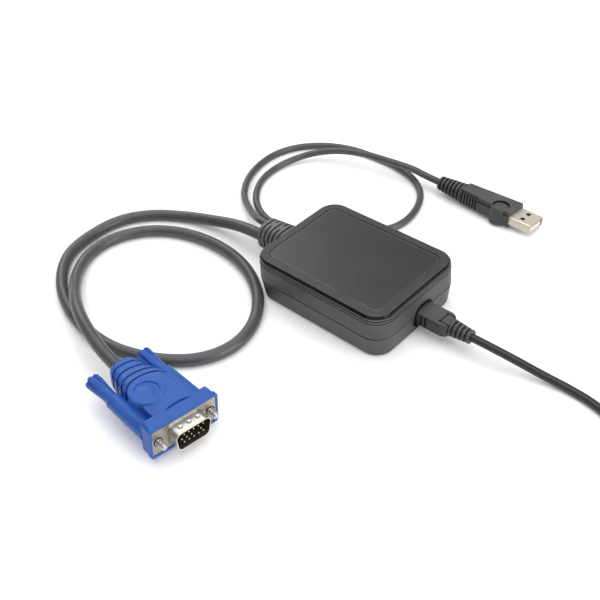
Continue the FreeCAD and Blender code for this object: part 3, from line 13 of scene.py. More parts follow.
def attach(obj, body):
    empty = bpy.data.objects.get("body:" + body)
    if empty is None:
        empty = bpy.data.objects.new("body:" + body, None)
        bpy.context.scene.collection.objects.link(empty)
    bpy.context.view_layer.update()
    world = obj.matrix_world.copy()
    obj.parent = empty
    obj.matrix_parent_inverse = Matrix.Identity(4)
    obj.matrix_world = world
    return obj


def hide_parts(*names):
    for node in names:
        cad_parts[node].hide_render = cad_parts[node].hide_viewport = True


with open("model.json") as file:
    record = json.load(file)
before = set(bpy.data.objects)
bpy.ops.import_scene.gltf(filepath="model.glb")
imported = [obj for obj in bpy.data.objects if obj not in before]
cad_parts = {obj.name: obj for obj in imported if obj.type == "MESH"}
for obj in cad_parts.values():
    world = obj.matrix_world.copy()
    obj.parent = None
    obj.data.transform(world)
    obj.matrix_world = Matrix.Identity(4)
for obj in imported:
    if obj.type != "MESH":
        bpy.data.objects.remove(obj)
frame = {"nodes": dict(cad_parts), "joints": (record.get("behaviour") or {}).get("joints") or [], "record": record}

LOG = logging.getLogger("console_adapter")
MM = 0.001
ROOT_BODY = "adapter"
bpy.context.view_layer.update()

Colour = tuple[float, float, float]
Point = tuple[float, float, float]
Span = tuple[float, float]
Socket = bpy.types.NodeSocket
Material = bpy.types.Material
Object = bpy.types.Object

ZERO: Point = (0.0, 0.0, 0.0)
UP: Point = (0.0, 0.0, 1.0)
SIDES = ("left", "right")

# How rough noise is, where it mostly lies, and where colours, the painted shade of the sides and the edge of the
# seam's painted shade run over
NOISE_ROUGHNESS = 0.55
NOISE_SPAN = (0.3, 0.7)
TINT_SPAN = (0.32, 0.68)
PAINTED_SIDE_SPAN = (0.35, 0.85)
PAINTED_SEAM_SPAN = (0.7, 1.3)

# Where the laptop cord is put away
COIL_CENTRE_MM = (152.0, 20.0)
TIE_DEGREES = 100.0


def metres(point_mm: tuple[float, ...]) -> tuple[float, ...]:
    """A point or a row of sizes in metres, from millimetres."""
    return tuple(part * MM for part in point_mm)


def add_node(tree: bpy.types.NodeTree, kind: str, sources: dict[str | int, object],
             options: dict[str, object]) -> bpy.types.Node:
    """Adds a node to a tree.

    Args:
        tree: the tree.
        kind: the node's type.
        sources: a socket, several sockets or a constant for each input.
        options: the node's own settings.

    Returns:
        The node.
    """
    node = tree.nodes.new(kind)
    for name, option in options.items():
        setattr(node, name, option)
    for name, source in sources.items():
        if isinstance(source, (Socket, list)):
            for one in source if isinstance(source, list) else [source]:
                tree.links.new(one, node.inputs[name])
        else:
            node.inputs[name].default_value = source
    return node


# Shader nodes


class ShaderBench:
    """Adds and wires the shader nodes of one finish, with every pattern on Object coordinates."""

    def __init__(self, name: str) -> None:
        """Starts an empty material.

        Args:
            name: name of the finish, also used for the material.
        """
        self.material = bpy.data.materials.new(name)
        self.material.use_nodes = True
        self.tree = self.material.node_tree
        self.tree.nodes.clear()
        output = self.tree.nodes.new("ShaderNodeOutputMaterial")
        self.shader = self.tree.nodes.new("ShaderNodeBsdfPrincipled")
        self.tree.links.new(self.shader.outputs["BSDF"], output.inputs["Surface"])
        place = self.tree.nodes.new("ShaderNodeTexCoord")
        self.spot, self.outward = place.outputs["Object"], place.outputs["Normal"]

    def add(self, kind: str, output: str | int, sources: dict[str | int, object],
            **options: object) -> Socket:
        """Adds a node and returns one of its outputs."""
        return add_node(self.tree, "ShaderNode" + kind, sources, options).outputs[output]

    def set(self, socket: str, value: float) -> None:
        """Sets a constant on the shader's own socket."""
        self.shader.inputs[socket].default_value = value

    def feed(self, socket: str, source: Socket) -> None:
        """Links a pattern to one of the shader's sockets."""
        self.tree.links.new(source, self.shader.inputs[socket])

    def mapped(self, stretch: Point) -> Socket:
        """Object coordinates, stretched along each axis."""
        return self.add("Mapping", "Vector", {"Vector": self.spot, "Scale": stretch})

    def noise(self, size_mm: float, detail: float = 2.0, stretch: Point = (1.0, 1.0, 1.0)) -> Socket:
        """Noise factor whose lumps have a given size, finer along each axis by its stretch."""
        place = self.mapped(tuple(1.0 / (size_mm * MM) * part for part in stretch))
        return self.add("TexNoise", "Fac", {"Vector": place, "Scale": 1.0, "Detail": detail,
                                            "Roughness": NOISE_ROUGHNESS})

    def ramped(self, value: Socket, start: float, end: float, low: float = 0.0, high: float = 1.0) -> Socket:
        """Runs from low to high while a value runs from start to end."""
        return self.add("MapRange", "Result", {"Value": value, "From Min": start, "From Max": end,
                                               "To Min": low, "To Max": high})

    def between(self, factor: Socket, low: float, high: float) -> Socket:
        """Value that runs from low to high with a noise factor."""
        return self.ramped(factor, *NOISE_SPAN, low, high)

    def tinted(self, factor: Socket, dark: Colour, light: Colour) -> Socket:
        """Colour that runs from dark to light with a noise factor.

        Args:
            factor: noise, mostly inside NOISE_SPAN.
            dark: colour at the noise's low end.
            light: colour at the noise's high end.

        Returns:
            The colour socket.
        """
        ramp = add_node(self.tree, "ShaderNodeValToRGB", {"Fac": factor}, {})
        for stop, position, colour in zip(ramp.color_ramp.elements, TINT_SPAN, (dark, light)):
            stop.position = position
            stop.color = (*colour, 1.0)
        return ramp.outputs["Color"]

    def shaded(self, factor: Socket, colour: Colour, low: float, high: float = 1.0) -> Socket:
        """Colour that runs between two shades of itself with a noise factor."""
        return self.tinted(factor, scaled(colour, low), scaled(colour, high))

    def tinted_with_painted_sides(self, factor: Socket, dark: Colour, light: Colour, painted_side_shade: float) -> Socket:
        """Colour as tinted gives it, with painted shade where the piece's surface doesn't look up.

        Args:
            factor: noise, mostly inside NOISE_SPAN.
            dark: colour at the noise's low end.
            light: colour at the noise's high end.
            painted_side_shade: share of the colour that the sides keep.

        Returns:
            The colour socket.
        """
        top = self.tinted(factor, dark, light)
        if painted_side_shade == 1.0:
            return top
        # Painted shade: the sides take a darker copy of the colour
        side = self.tinted(factor, scaled(dark, painted_side_shade), scaled(light, painted_side_shade))
        on_top = self.ramped(self.dot(self.outward, UP), *PAINTED_SIDE_SPAN)
        return self.mixed(on_top, side, top)

    def mixed(self, share: Socket, first: Socket, second: Socket) -> Socket:
        """Colour between two patterns, the first at share 0 and the second at share 1."""
        return self.add("Mix", 2, {"Factor": share, 6: first, 7: second}, data_type="RGBA")

    def bump(self, height: Socket, depth_mm: float, under: Socket | None = None) -> Socket:
        """Normal of a relief, on top of a coarser one where there is one."""
        coarse = {} if under is None else {"Normal": under}
        return self.add("Bump", "Normal", {"Height": height, "Distance": depth_mm * MM, **coarse})

    def soft_edge(self, radius_mm: float) -> Socket:
        """Normal that rounds the piece's sharp edges."""
        return self.add("Bevel", "Normal", {"Radius": radius_mm * MM}, samples=6)

    def openness(self, reach_mm: float) -> Socket:
        """How open the surface is: low down in grooves and corners of the piece itself."""
        return self.add("AmbientOcclusion", "AO", {"Distance": reach_mm * MM}, samples=8, only_local=True)

    def dot(self, vector: Socket, axis: Point) -> Socket:
        """How far a vector reaches along an axis."""
        return self.add("VectorMath", "Value", {0: vector, 1: axis}, operation="DOT_PRODUCT")

    def along(self, point: Point, axis: Point) -> Socket:
        """Distance from a point along an axis, in metres."""
        offset = self.add("VectorMath", "Vector", {0: self.spot, 1: point}, operation="SUBTRACT")
        return self.dot(offset, axis)

    def calculated(self, operation: str, *sources: Socket) -> Socket:
        """Result of one Math node."""
        return self.add("Math", "Value", dict(enumerate(sources)), operation=operation)

    def clear_of(self, height_mm: float, half_mm: float, outside: Socket) -> Socket:
        """A share that falls to zero in a narrow band at one height.

        Args:
            height_mm: middle of the band above the floor, in millimetres.
            half_mm: half the band's width in millimetres.
            outside: the share outside the band.

        Returns:
            The share socket.
        """
        away = self.calculated("ABSOLUTE", self.along((0.0, 0.0, height_mm * MM), UP))
        clear = self.ramped(away, *(share * half_mm * MM for share in PAINTED_SEAM_SPAN))
        return self.calculated("MULTIPLY", clear, outside)


def mount_place(name: str) -> tuple[Point, Point]:
    """Point, in metres, and unit axis of one of the record's mounts."""
    mount = next(entry for entry in frame["record"]["mounts"] if entry["name"] == name)
    return tuple(mount["pos_m"]), tuple(mount["axis"])


def scaled(colour: Colour, share: float) -> Colour:
    """A colour made darker or lighter by a share."""
    return tuple(min(1.0, part * share) for part in colour)


# Finishes


@dataclass(frozen=True)
class MouldedFinish:
    """Moulded plastic: spark-eroded grain, cloudy changes of tone, soft edges, and painted shade in its grooves
    and corners.

    Painted shade along a seam at one height and on the sides, darker than the top, is for the pieces that are
    given it; a groove share above 1 paints the grooves lighter, as painted light.
    """

    name: str
    colour: Colour
    roughness: float = 0.5
    mottle: float = 0.12
    mottle_mm: float = 9.0
    grain_mm: float = 0.35
    grain_depth_mm: float = 0.012
    specular: float = 0.5
    edge_mm: float = 0.2
    groove_mm: float = 0.9
    groove_span: Span = (0.3, 0.85)
    painted_groove_shade: float = 0.25
    seam_at_mm: float = 0.0
    seam_half_mm: float = 0.0
    painted_side_shade: float = 1.0

    def make(self) -> Material:
        """Builds the material and returns it."""
        bench = ShaderBench(self.name)
        cloud = bench.noise(self.mottle_mm, 3.0)
        grain = bench.noise(self.grain_mm, 2.0)
        dark, light = scaled(self.colour, 1.0 - self.mottle), scaled(self.colour, 1.0 + self.mottle)
        # Painted shade: grooves and corners, found by occlusion, take a darker copy of the colour; a share above 1
        # paints them lighter instead
        painted_hollow_colour = bench.tinted(cloud, scaled(dark, self.painted_groove_shade), scaled(light, self.painted_groove_shade))
        open_share = bench.ramped(bench.openness(self.groove_mm), *self.groove_span)
        # Painted shade along the seam: the groove colour in a narrow band at the seam's height
        if self.seam_half_mm > 0.0:
            open_share = bench.clear_of(self.seam_at_mm, self.seam_half_mm, open_share)
        # Painted shade on the sides where their share is below 1
        skin = bench.tinted_with_painted_sides(cloud, dark, light, self.painted_side_shade)
        bench.feed("Base Color", bench.mixed(open_share, painted_hollow_colour, skin))
        bench.feed("Roughness", bench.between(grain, self.roughness - 0.06, self.roughness + 0.06))
        bench.feed("Normal", bench.bump(grain, self.grain_depth_mm, bench.soft_edge(self.edge_mm)))
        bench.set("Specular IOR Level", self.specular)
        return bench.material


@dataclass(frozen=True)
class GlossFinish:
    """Polished moulded plastic with faint handling haze."""

    name: str
    colour: Colour
    roughness: float = 0.12
    specular: float = 0.5
    haze_mm: float = 14.0

    def make(self) -> Material:
        """Builds the material and returns it."""
        bench = ShaderBench(self.name)
        haze = bench.noise(self.haze_mm, 4.0)
        wave = bench.noise(3.0, 1.0)
        bench.feed("Base Color", bench.shaded(haze, self.colour, 0.8, 1.25))
        bench.feed("Roughness", bench.between(haze, self.roughness - 0.03, self.roughness + 0.05))
        bench.feed("Normal", bench.bump(wave, 0.004))
        bench.set("Specular IOR Level", self.specular)
        return bench.material


@dataclass(frozen=True)
class JacketFinish:
    """Extruded cord jacket: matt, slightly mottled, with fine drawing marks."""

    name: str
    colour: Colour
    roughness: float = 0.5
    specular: float = 0.45

    def make(self) -> Material:
        """Builds the material and returns it."""
        bench = ShaderBench(self.name)
        cloud = bench.noise(7.0, 4.0)
        grain = bench.noise(0.5, 3.0)
        swell = bench.noise(2.4, 1.0)
        bench.feed("Base Color", bench.shaded(cloud, self.colour, 0.88, 1.12))
        bench.feed("Roughness", bench.between(grain, self.roughness - 0.07, self.roughness + 0.07))
        coarse = bench.bump(swell, 0.03)
        bench.feed("Normal", bench.bump(grain, 0.015, coarse))
        bench.set("Specular IOR Level", self.specular)
        return bench.material


@dataclass(frozen=True)
class PlatedFinish:
    """Plated metal with rolling marks along one way, cloudy tarnish and, on some pieces, painted shade on the
    sides.
    """

    name: str
    colour: Colour
    roughness: float = 0.3
    mark_mm: float = 0.25
    marks_along: Point = (0.12, 1.0, 1.0)
    tarnish: float = 0.1
    painted_side_shade: float = 1.0

    def make(self) -> Material:
        """Builds the material and returns it."""
        bench = ShaderBench(self.name)
        cloud = bench.noise(3.0, 3.0)
        marks = bench.noise(self.mark_mm, 2.0, self.marks_along)
        dull = scaled(self.colour, 1.0 - self.tarnish)
        # Painted shade on the sides where their share is below 1
        bench.feed("Base Color", bench.tinted_with_painted_sides(cloud, dull, self.colour, self.painted_side_shade))
        bench.feed("Roughness", bench.between(marks, self.roughness - 0.08, self.roughness + 0.1))
        bench.feed("Normal", bench.bump(marks, 0.006))
        bench.set("Metallic", 1.0)
        return bench.material


@dataclass(frozen=True)
class PlugFaceFinish:
    """Pressed video plug shell: satin face plate, brighter drawn D in front of it, painted shade in its dents and
    corners.
    """

    name: str
    plate: Colour = (0.43, 0.40, 0.35)
    drawn: Colour = (0.69, 0.655, 0.59)
    plate_roughness: float = 0.4
    drawn_roughness: float = 0.31
    drawn_from_mm: Span = (0.3, 0.9)
    dent_mm: float = 1.0
    dent_span: Span = (0.72, 0.98)
    painted_dent_shade: float = 0.25

    def make(self) -> Material:
        """Builds the material and returns it."""
        bench = ShaderBench(self.name)
        depth = bench.along(*mount_place("video_mating_face"))
        front = bench.ramped(depth, *metres(self.drawn_from_mm))
        cloud = bench.noise(2.5, 3.0)
        plate, drawn = bench.shaded(cloud, self.plate, 0.86), bench.shaded(cloud, self.drawn, 0.94)
        # Painted shade: dents and the corner at the root of the D take a dark copy of the plate's colour
        painted_hollow_colour = bench.shaded(cloud, scaled(self.plate, self.painted_dent_shade), 0.86)
        open_share = bench.ramped(bench.openness(self.dent_mm), *self.dent_span)
        bench.feed("Base Color", bench.mixed(open_share, painted_hollow_colour, bench.mixed(front, plate, drawn)))
        bench.feed("Roughness", bench.ramped(front, 0.0, 1.0, self.plate_roughness, self.drawn_roughness))
        bench.feed("Normal", bench.bump(bench.noise(0.9, 1.0, (1.0, 0.3, 1.0)), 0.001))
        bench.set("Metallic", 1.0)
        return bench.material


@dataclass(frozen=True)
class BezelFinish:
    """Frame of the top: a satin rim on top painted lighter than the rest as painted light, a black gloss strip
    round its edge, a grey lip below that.
    """

    name: str
    rim: Colour = (0.052, 0.052, 0.050)
    strip: Colour = (0.003, 0.003, 0.003)
    lip: Colour = (0.060, 0.060, 0.058)
    lip_top_mm: Span = (21.35, 21.4)
    rim_from_mm: Span = (22.92, 22.95)
    specular: float = 0.22

    def make(self) -> Material:
        """Builds the material and returns it."""
        bench = ShaderBench(self.name)
        height = bench.along(ZERO, UP)
        above_lip = bench.ramped(height, *metres(self.lip_top_mm))
        on_rim = bench.ramped(height, *metres(self.rim_from_mm))
        cloud = bench.noise(9.0, 3.0)
        grain = bench.noise(0.35, 2.0)
        # Painted light: the rim on top takes a lighter colour than the black strip of the same piece
        rim = bench.shaded(cloud, self.rim, 0.9, 1.1)
        strip = bench.shaded(cloud, self.strip, 0.8, 1.2)
        lip = bench.shaded(cloud, self.lip, 0.9, 1.1)
        bench.feed("Base Color", bench.mixed(on_rim, bench.mixed(above_lip, lip, strip), rim))
        bench.feed("Roughness", bench.ramped(on_rim, 0.0, 1.0, 0.16, 0.4))
        bench.feed("Normal", bench.bump(grain, 0.004))
        bench.set("Specular IOR Level", self.specular)
        return bench.material


@dataclass(frozen=True)
class PinFinish:
    """Contact pin: gold flash at its tip, dull down at its root and darkened there as painted shade of its recess.
    """

    name: str
    tip: Colour = (0.80, 0.68, 0.44)
    root: Colour = (0.05, 0.042, 0.03)
    bright_from_mm: Span = (4.85, 5.15)

    def make(self) -> Material:
        """Builds the material and returns it."""
        bench = ShaderBench(self.name)
        depth = bench.along(*mount_place("video_mating_face"))
        share = bench.ramped(depth, *metres(self.bright_from_mm))
        cloud = bench.noise(0.8, 2.0)
        # Painted shade: the pin's root, down in the insulator, takes a dark colour
        root, tip = bench.shaded(cloud, self.root, 0.8), bench.shaded(cloud, self.tip, 0.9)
        bench.feed("Base Color", bench.mixed(share, root, tip))
        bench.feed("Roughness", bench.ramped(share, 0.0, 1.0, 0.6, 0.3))
        bench.feed("Metallic", bench.ramped(share, 0.0, 1.0, 0.3, 1.0))
        return bench.material


@dataclass(frozen=True)
class BoardFinish:
    """Green solder mask over a glass board, with paler copper runs showing through."""

    name: str
    colour: Colour = (0.012, 0.09, 0.035)
    run_colour: Colour = (0.03, 0.19, 0.07)
    runs_per_metre: Point = (420.0, 420.0, 60.0)
    run_span: Span = (0.03, 0.06)

    def make(self) -> Material:
        """Builds the material and returns it."""
        bench = ShaderBench(self.name)
        place = bench.mapped(self.runs_per_metre)
        runs = bench.add("TexVoronoi", "Distance", {"Vector": place, "Scale": 1.0}, distance="MANHATTAN",
                         feature="DISTANCE_TO_EDGE")
        step = bench.ramped(runs, *self.run_span, 1.0, 0.0)
        bench.feed("Base Color", bench.tinted(step, self.colour, self.run_colour))
        bench.feed("Roughness", bench.between(bench.noise(2.0), 0.25, 0.4))
        bench.feed("Normal", bench.bump(step, 0.03))
        return bench.material


class Finishes(Enum):
    """Every finish of the adapter, named for the piece that it is seen on."""

    # Painted shade in the case's grooves and in a line along the seam between the shells
    CASE = MouldedFinish("moulded_case", (0.054, 0.054, 0.051), 0.5, painted_groove_shade=0.1, seam_at_mm=11.0,
                         seam_half_mm=0.25)
    PANEL = MouldedFinish("satin_panel", (0.024, 0.024, 0.0225), 0.34, grain_depth_mm=0.006)
    BEZEL = BezelFinish("banded_bezel")
    LIP = GlossFinish("gloss_lip", (0.075, 0.075, 0.072), 0.24, 0.6)
    SHADOW_LINE = MouldedFinish("moulded_shadow_line", (0.004, 0.004, 0.004), 0.6, specular=0.1)
    RELIEF = MouldedFinish("moulded_relief", (0.104, 0.105, 0.108), 0.45)
    JACKET = JacketFinish("drawn_jacket", (0.060, 0.062, 0.065), 0.36, 0.5)
    LAPTOP_JACKET = JacketFinish("drawn_laptop_jacket", (0.017, 0.017, 0.0167), 0.36, 0.5)
    # Painted light: the hood's grooves take a colour lighter than its open surface, against their real shade
    HOOD_BLUE = MouldedFinish("moulded_blue_hood", (0.024, 0.094, 0.375), 0.38, mottle=0.05, specular=0.24,
                              painted_groove_shade=1.8)
    # Painted shade in the hoods' grooves and on their sides
    PLUG = MouldedFinish("moulded_plug", (0.086, 0.086, 0.084), 0.4, specular=0.2, groove_mm=1.2,
                         painted_groove_shade=0.05, painted_side_shade=0.68)
    # Painted shade: the shells' sides take a darker colour than their tops
    SHELL = PlatedFinish("plated_shell", (0.98, 0.90, 0.78), 0.46, painted_side_shade=0.62)
    PLUG_FACE = PlugFaceFinish("pressed_plug_face")
    JACKSCREW = PlatedFinish("plated_jackscrew", (0.60, 0.57, 0.52), 0.32)
    SCREW = PlatedFinish("plated_case_screw", (0.55, 0.55, 0.56), 0.35)
    # Black insulator, also put on dark rings that stand where there is only shade in a gap: painted shadow
    INSULATOR_AND_PAINTED_SHADOW = MouldedFinish("moulded_insulator_and_painted_shadow", (0.003, 0.003, 0.003), 0.6, specular=0.08)
    PIN = PinFinish("flashed_pin")
    CONTACT = PlatedFinish("flashed_contact", (0.93, 0.68, 0.28), 0.22)
    TONGUE = MouldedFinish("moulded_tongue", (0.72, 0.71, 0.68), 0.4, mottle=0.04)
    HEADER = MouldedFinish("moulded_header", (0.62, 0.59, 0.50), 0.5, mottle=0.05)
    WIRE = MouldedFinish("drawn_wire", (0.25, 0.25, 0.27), 0.4)
    BOARD = BoardFinish("masked_board")
    CHIP = MouldedFinish("moulded_chip", (0.018, 0.018, 0.019), 0.55)
    CRYSTAL = PlatedFinish("plated_crystal", (0.72, 0.72, 0.73), 0.22)
    CAN = PlatedFinish("sleeved_can", (0.66, 0.67, 0.70), 0.3)
    TIE = MouldedFinish("moulded_tie", (0.015, 0.015, 0.016), 0.38)

    def material(self) -> Material:
        """The material of this finish, built once."""
        found = bpy.data.materials.get(self.value.name)
        return found or self.value.make()


def dress(finish: Finishes, *names: str) -> None:
    """Gives CAD nodes a finish through their own material slots.

    Args:
        finish: the finish.
        names: the nodes.
    """
    for name in names:
        slots = frame["nodes"][name].data.materials
        slots.clear()
        slots.append(finish.material())
        LOG.info("node %s takes finish %s", name, finish.name)


# Geometry Nodes


@dataclass(frozen=True)
class Thread:
    """Sizes of a screw thread: radii under and over it, height of a turn, reach and tip."""

    core_mm: float
    crest_mm: float
    pitch_mm: float
    reach_mm: float
    tip_mm: float


class NodeBench:
    """Builds one Geometry Nodes tree with named sizes and turns its result into a plain mesh."""

    ROUND_SIDES = 40
    THREAD_SIDES = 36
    BEAD_SIDES = 10
    RIDGE_SIDES = 6
    TURN_STEPS = 24
    CORNER_STEPS = 12
    RIDGE_SHARE = 0.62
    SHARP_DEGREES = 35.0

    def __init__(self, name: str) -> None:
        """Starts an empty tree.

        Args:
            name: name of the piece that the tree makes.
        """
        self.name = name
        self.tree = bpy.data.node_groups.new(name, "GeometryNodeTree")
        self.tree.interface.new_socket("Geometry", in_out="OUTPUT", socket_type="NodeSocketGeometry")
        self.start = self.tree.nodes.new("NodeGroupInput")
        self.end = self.tree.nodes.new("NodeGroupOutput")
        self.values: dict[str, float | int | Point] = {}

    def size(self, name: str, value: float | int | Point) -> Socket:
        """Adds a named input and keeps the value that it gets.

        Args:
            name: name of the input.
            value: a length in metres, a number of pieces, a point in metres or turns in radians.

        Returns:
            The input's socket.
        """
        kinds = {float: "NodeSocketFloat", int: "NodeSocketInt", tuple: "NodeSocketVector"}
        socket = self.tree.interface.new_socket(name, in_out="INPUT", socket_type=kinds[type(value)])
        self.values[socket.identifier] = value
        return self.start.outputs[name]

    def add(self, kind: str, sources: dict[str | int, object], **options: object) -> Socket:
        """Adds a node and returns its first output."""
        return add_node(self.tree, "GeometryNode" + kind, sources, options).outputs[0]

    def moved(self, shape: Socket, name: str, place: Point, turn: Point = ZERO) -> Socket:
        """Turns a shape, in radians, and moves its origin to a place in metres."""
        return self.add("Transform", {"Geometry": shape, "Translation": self.size(name + " Place", place),
                                      "Rotation": self.size(name + " Turn", turn)})

    def round_loop(self, name: str, length: float, width: float, corner: float) -> Socket:
        """Closed rectangle with round corners, flat on XY and centred."""
        loop = self.add("CurvePrimitiveQuadrilateral", {"Width": self.size(name + " Length", length),
                                                        "Height": self.size(name + " Width", width)})
        return self.add("FilletCurve", {"Curve": loop, "Radius": self.size(name + " Corner", corner),
                                        "Count": self.CORNER_STEPS}, mode="POLY")

    def ring(self, name: str, radius: float, sides: int) -> Socket:
        """Circle as a curve, flat on XY and centred."""
        return self.add("CurvePrimitiveCircle", {"Resolution": sides,
                                                 "Radius": self.size(name + " Radius", radius)})

    def tube(self, path: Socket, name: str, radius: float, sides: int = BEAD_SIDES,
             capped: bool = False) -> Socket:
        """Round bar along a curve, with open or closed ends."""
        section = self.ring(name, radius, sides)
        return self.add("CurveToMesh", {"Curve": path, "Profile Curve": section, "Fill Caps": capped})

    def rod(self, name: str, radius: float, low: float, high: float, sides: int = ROUND_SIDES) -> Socket:
        """Round bar along Z between two heights."""
        bar = self.add("MeshCylinder", {"Vertices": sides, "Radius": self.size(name + " Radius", radius),
                                        "Depth": self.size(name + " Length", high - low)})
        return self.moved(bar, name, (0.0, 0.0, (high + low) / 2.0))

    def cone(self, name: str, radii: Span, low: float, height: float,
             sides: int = ROUND_SIDES) -> Socket:
        """Stump of a cone along Z, with its radii below and above."""
        stump = self.add("MeshCone", {"Vertices": sides,
                                      "Radius Bottom": self.size(name + " Low Radius", radii[0]),
                                      "Radius Top": self.size(name + " High Radius", radii[1]),
                                      "Depth": self.size(name + " Length", height)})
        return self.moved(stump, name, (0.0, 0.0, low))

    def block(self, name: str, size_mm: Point) -> Socket:
        """Centred block with sizes in millimetres."""
        return self.add("MeshCube", {"Size": self.size(name + " Size", metres(size_mm))})

    def joined(self, *shapes: Socket) -> Socket:
        """Several shapes together, each kept whole."""
        return self.add("JoinGeometry", {"Geometry": [*shapes]})

    def united(self, *solids: Socket) -> Socket:
        """One solid in place of several that touch."""
        return self.add("MeshBoolean", {"Mesh 2": [*solids]}, operation="UNION", solver="MANIFOLD")

    def cut(self, solid: Socket, tool: Socket) -> Socket:
        """A solid with another one taken away."""
        return self.add("MeshBoolean", {"Mesh 1": solid, "Mesh 2": tool}, operation="DIFFERENCE",
                        solver="MANIFOLD")

    def row(self, shape: Socket, name: str, count: int, first: Point, step: Point,
            turn: Point = ZERO) -> Socket:
        """Copies of a shape in a straight row, each with the same turns in radians."""
        spots = self.add("MeshLine", {"Count": self.size(name + " Count", count),
                                      "Start Location": self.size(name + " First", first),
                                      "Offset": self.size(name + " Step", step)})
        return self.add("InstanceOnPoints", {"Points": spots, "Instance": shape,
                                             "Rotation": self.size(name + " Turn", turn)})

    def thread(self, sizes: Thread, low: float) -> Socket:
        """Threaded rod along Z with a coned tip.

        Args:
            sizes: sizes of its thread.
            low: where it starts, in metres.

        Returns:
            The joined geometry.
        """
        core, crest, pitch, reach, tip = metres(astuple(sizes))
        shoulder = low + reach - tip
        ridge_radius = (crest - core) * self.RIDGE_SHARE
        path_radius = crest - ridge_radius
        rise = shoulder - low - ridge_radius
        rod = self.rod("Core", core, low, shoulder, self.THREAD_SIDES)
        point = self.cone("Tip", (core, core - tip), shoulder, tip, self.THREAD_SIDES)
        helix = self.add("CurveSpiral", {"Resolution": self.TURN_STEPS,
                                         "Rotations": self.size("Thread Turns", rise / pitch),
                                         "Start Radius": self.size("Thread Start Radius", path_radius),
                                         "End Radius": self.size("Thread End Radius", path_radius),
                                         "Height": self.size("Thread Height", rise)})
        ridge = self.tube(helix, "Ridge", ridge_radius, self.RIDGE_SIDES, True)
        ridge = self.moved(ridge, "Ridge", (0.0, 0.0, low))
        return self.joined(self.united(rod, point), ridge)

    def piece(self, shape: Socket, finish: Finishes, body: str, slot: str,
              stands_for: tuple[str, ...] = ()) -> Object:
        """Ends the tree, turns its result into a plain mesh and lets it ride.

        Args:
            shape: the finished geometry.
            finish: the finish that it takes.
            body: the body that it moves with.
            slot: the record's material slot; not used.
            stands_for: CAD nodes that it replaces.

        Returns:
            The piece.
        """
        real = self.add("RealizeInstances", {"Geometry": shape})
        painted = self.add("SetMaterial", {"Geometry": real, "Material": finish.material()})
        self.tree.links.new(painted, self.end.inputs["Geometry"])
        piece = bpy.data.objects.new(self.name, bpy.data.meshes.new(self.name))
        bpy.context.scene.collection.objects.link(piece)
        modifier = piece.modifiers.new(self.name, "NODES")
        modifier.node_group = self.tree
        for identifier, value in self.values.items():
            modifier[identifier] = value
        view = bpy.context.evaluated_depsgraph_get()
        mesh = bpy.data.meshes.new_from_object(piece.evaluated_get(view), depsgraph=view)
        piece.modifiers.remove(modifier)
        piece.data = mesh
        mesh.name = self.name
        mesh.shade_smooth()
        mesh.set_sharp_from_angle(angle=math.radians(self.SHARP_DEGREES))
        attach(piece, body)
        if stands_for:
            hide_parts(*stands_for)
        LOG.info("piece %s: %d faces, rides on %s", self.name, len(mesh.polygons), body)
        return piece


def facing(axis: Point) -> Point:
    """Turns, in radians, that lay +Z along an axis."""
    return tuple(Vector(UP).rotation_difference(Vector(axis)).to_euler())


# Sub-assemblies


@dataclass
class Bead:
    """Round bead that follows a rectangle with round corners, or a circle where the corners meet."""

    name: str
    loop_mm: Span
    corner_mm: float
    place_mm: Point
    radius_mm: float
    finish: Finishes
    slot: str
    axis: Point = UP

    def build(self) -> Object:
        """Builds the bead and lets it ride on the adapter.

        Returns:
            The piece.
        """
        bench = NodeBench(self.name)
        loop = bench.round_loop("Loop", self.loop_mm[0] * MM, self.loop_mm[1] * MM, self.corner_mm * MM)
        ring = bench.tube(loop, "Bead", self.radius_mm * MM)
        ring = bench.moved(ring, "Loop", metres(self.place_mm), facing(self.axis))
        return bench.piece(ring, self.finish, ROOT_BODY, self.slot)


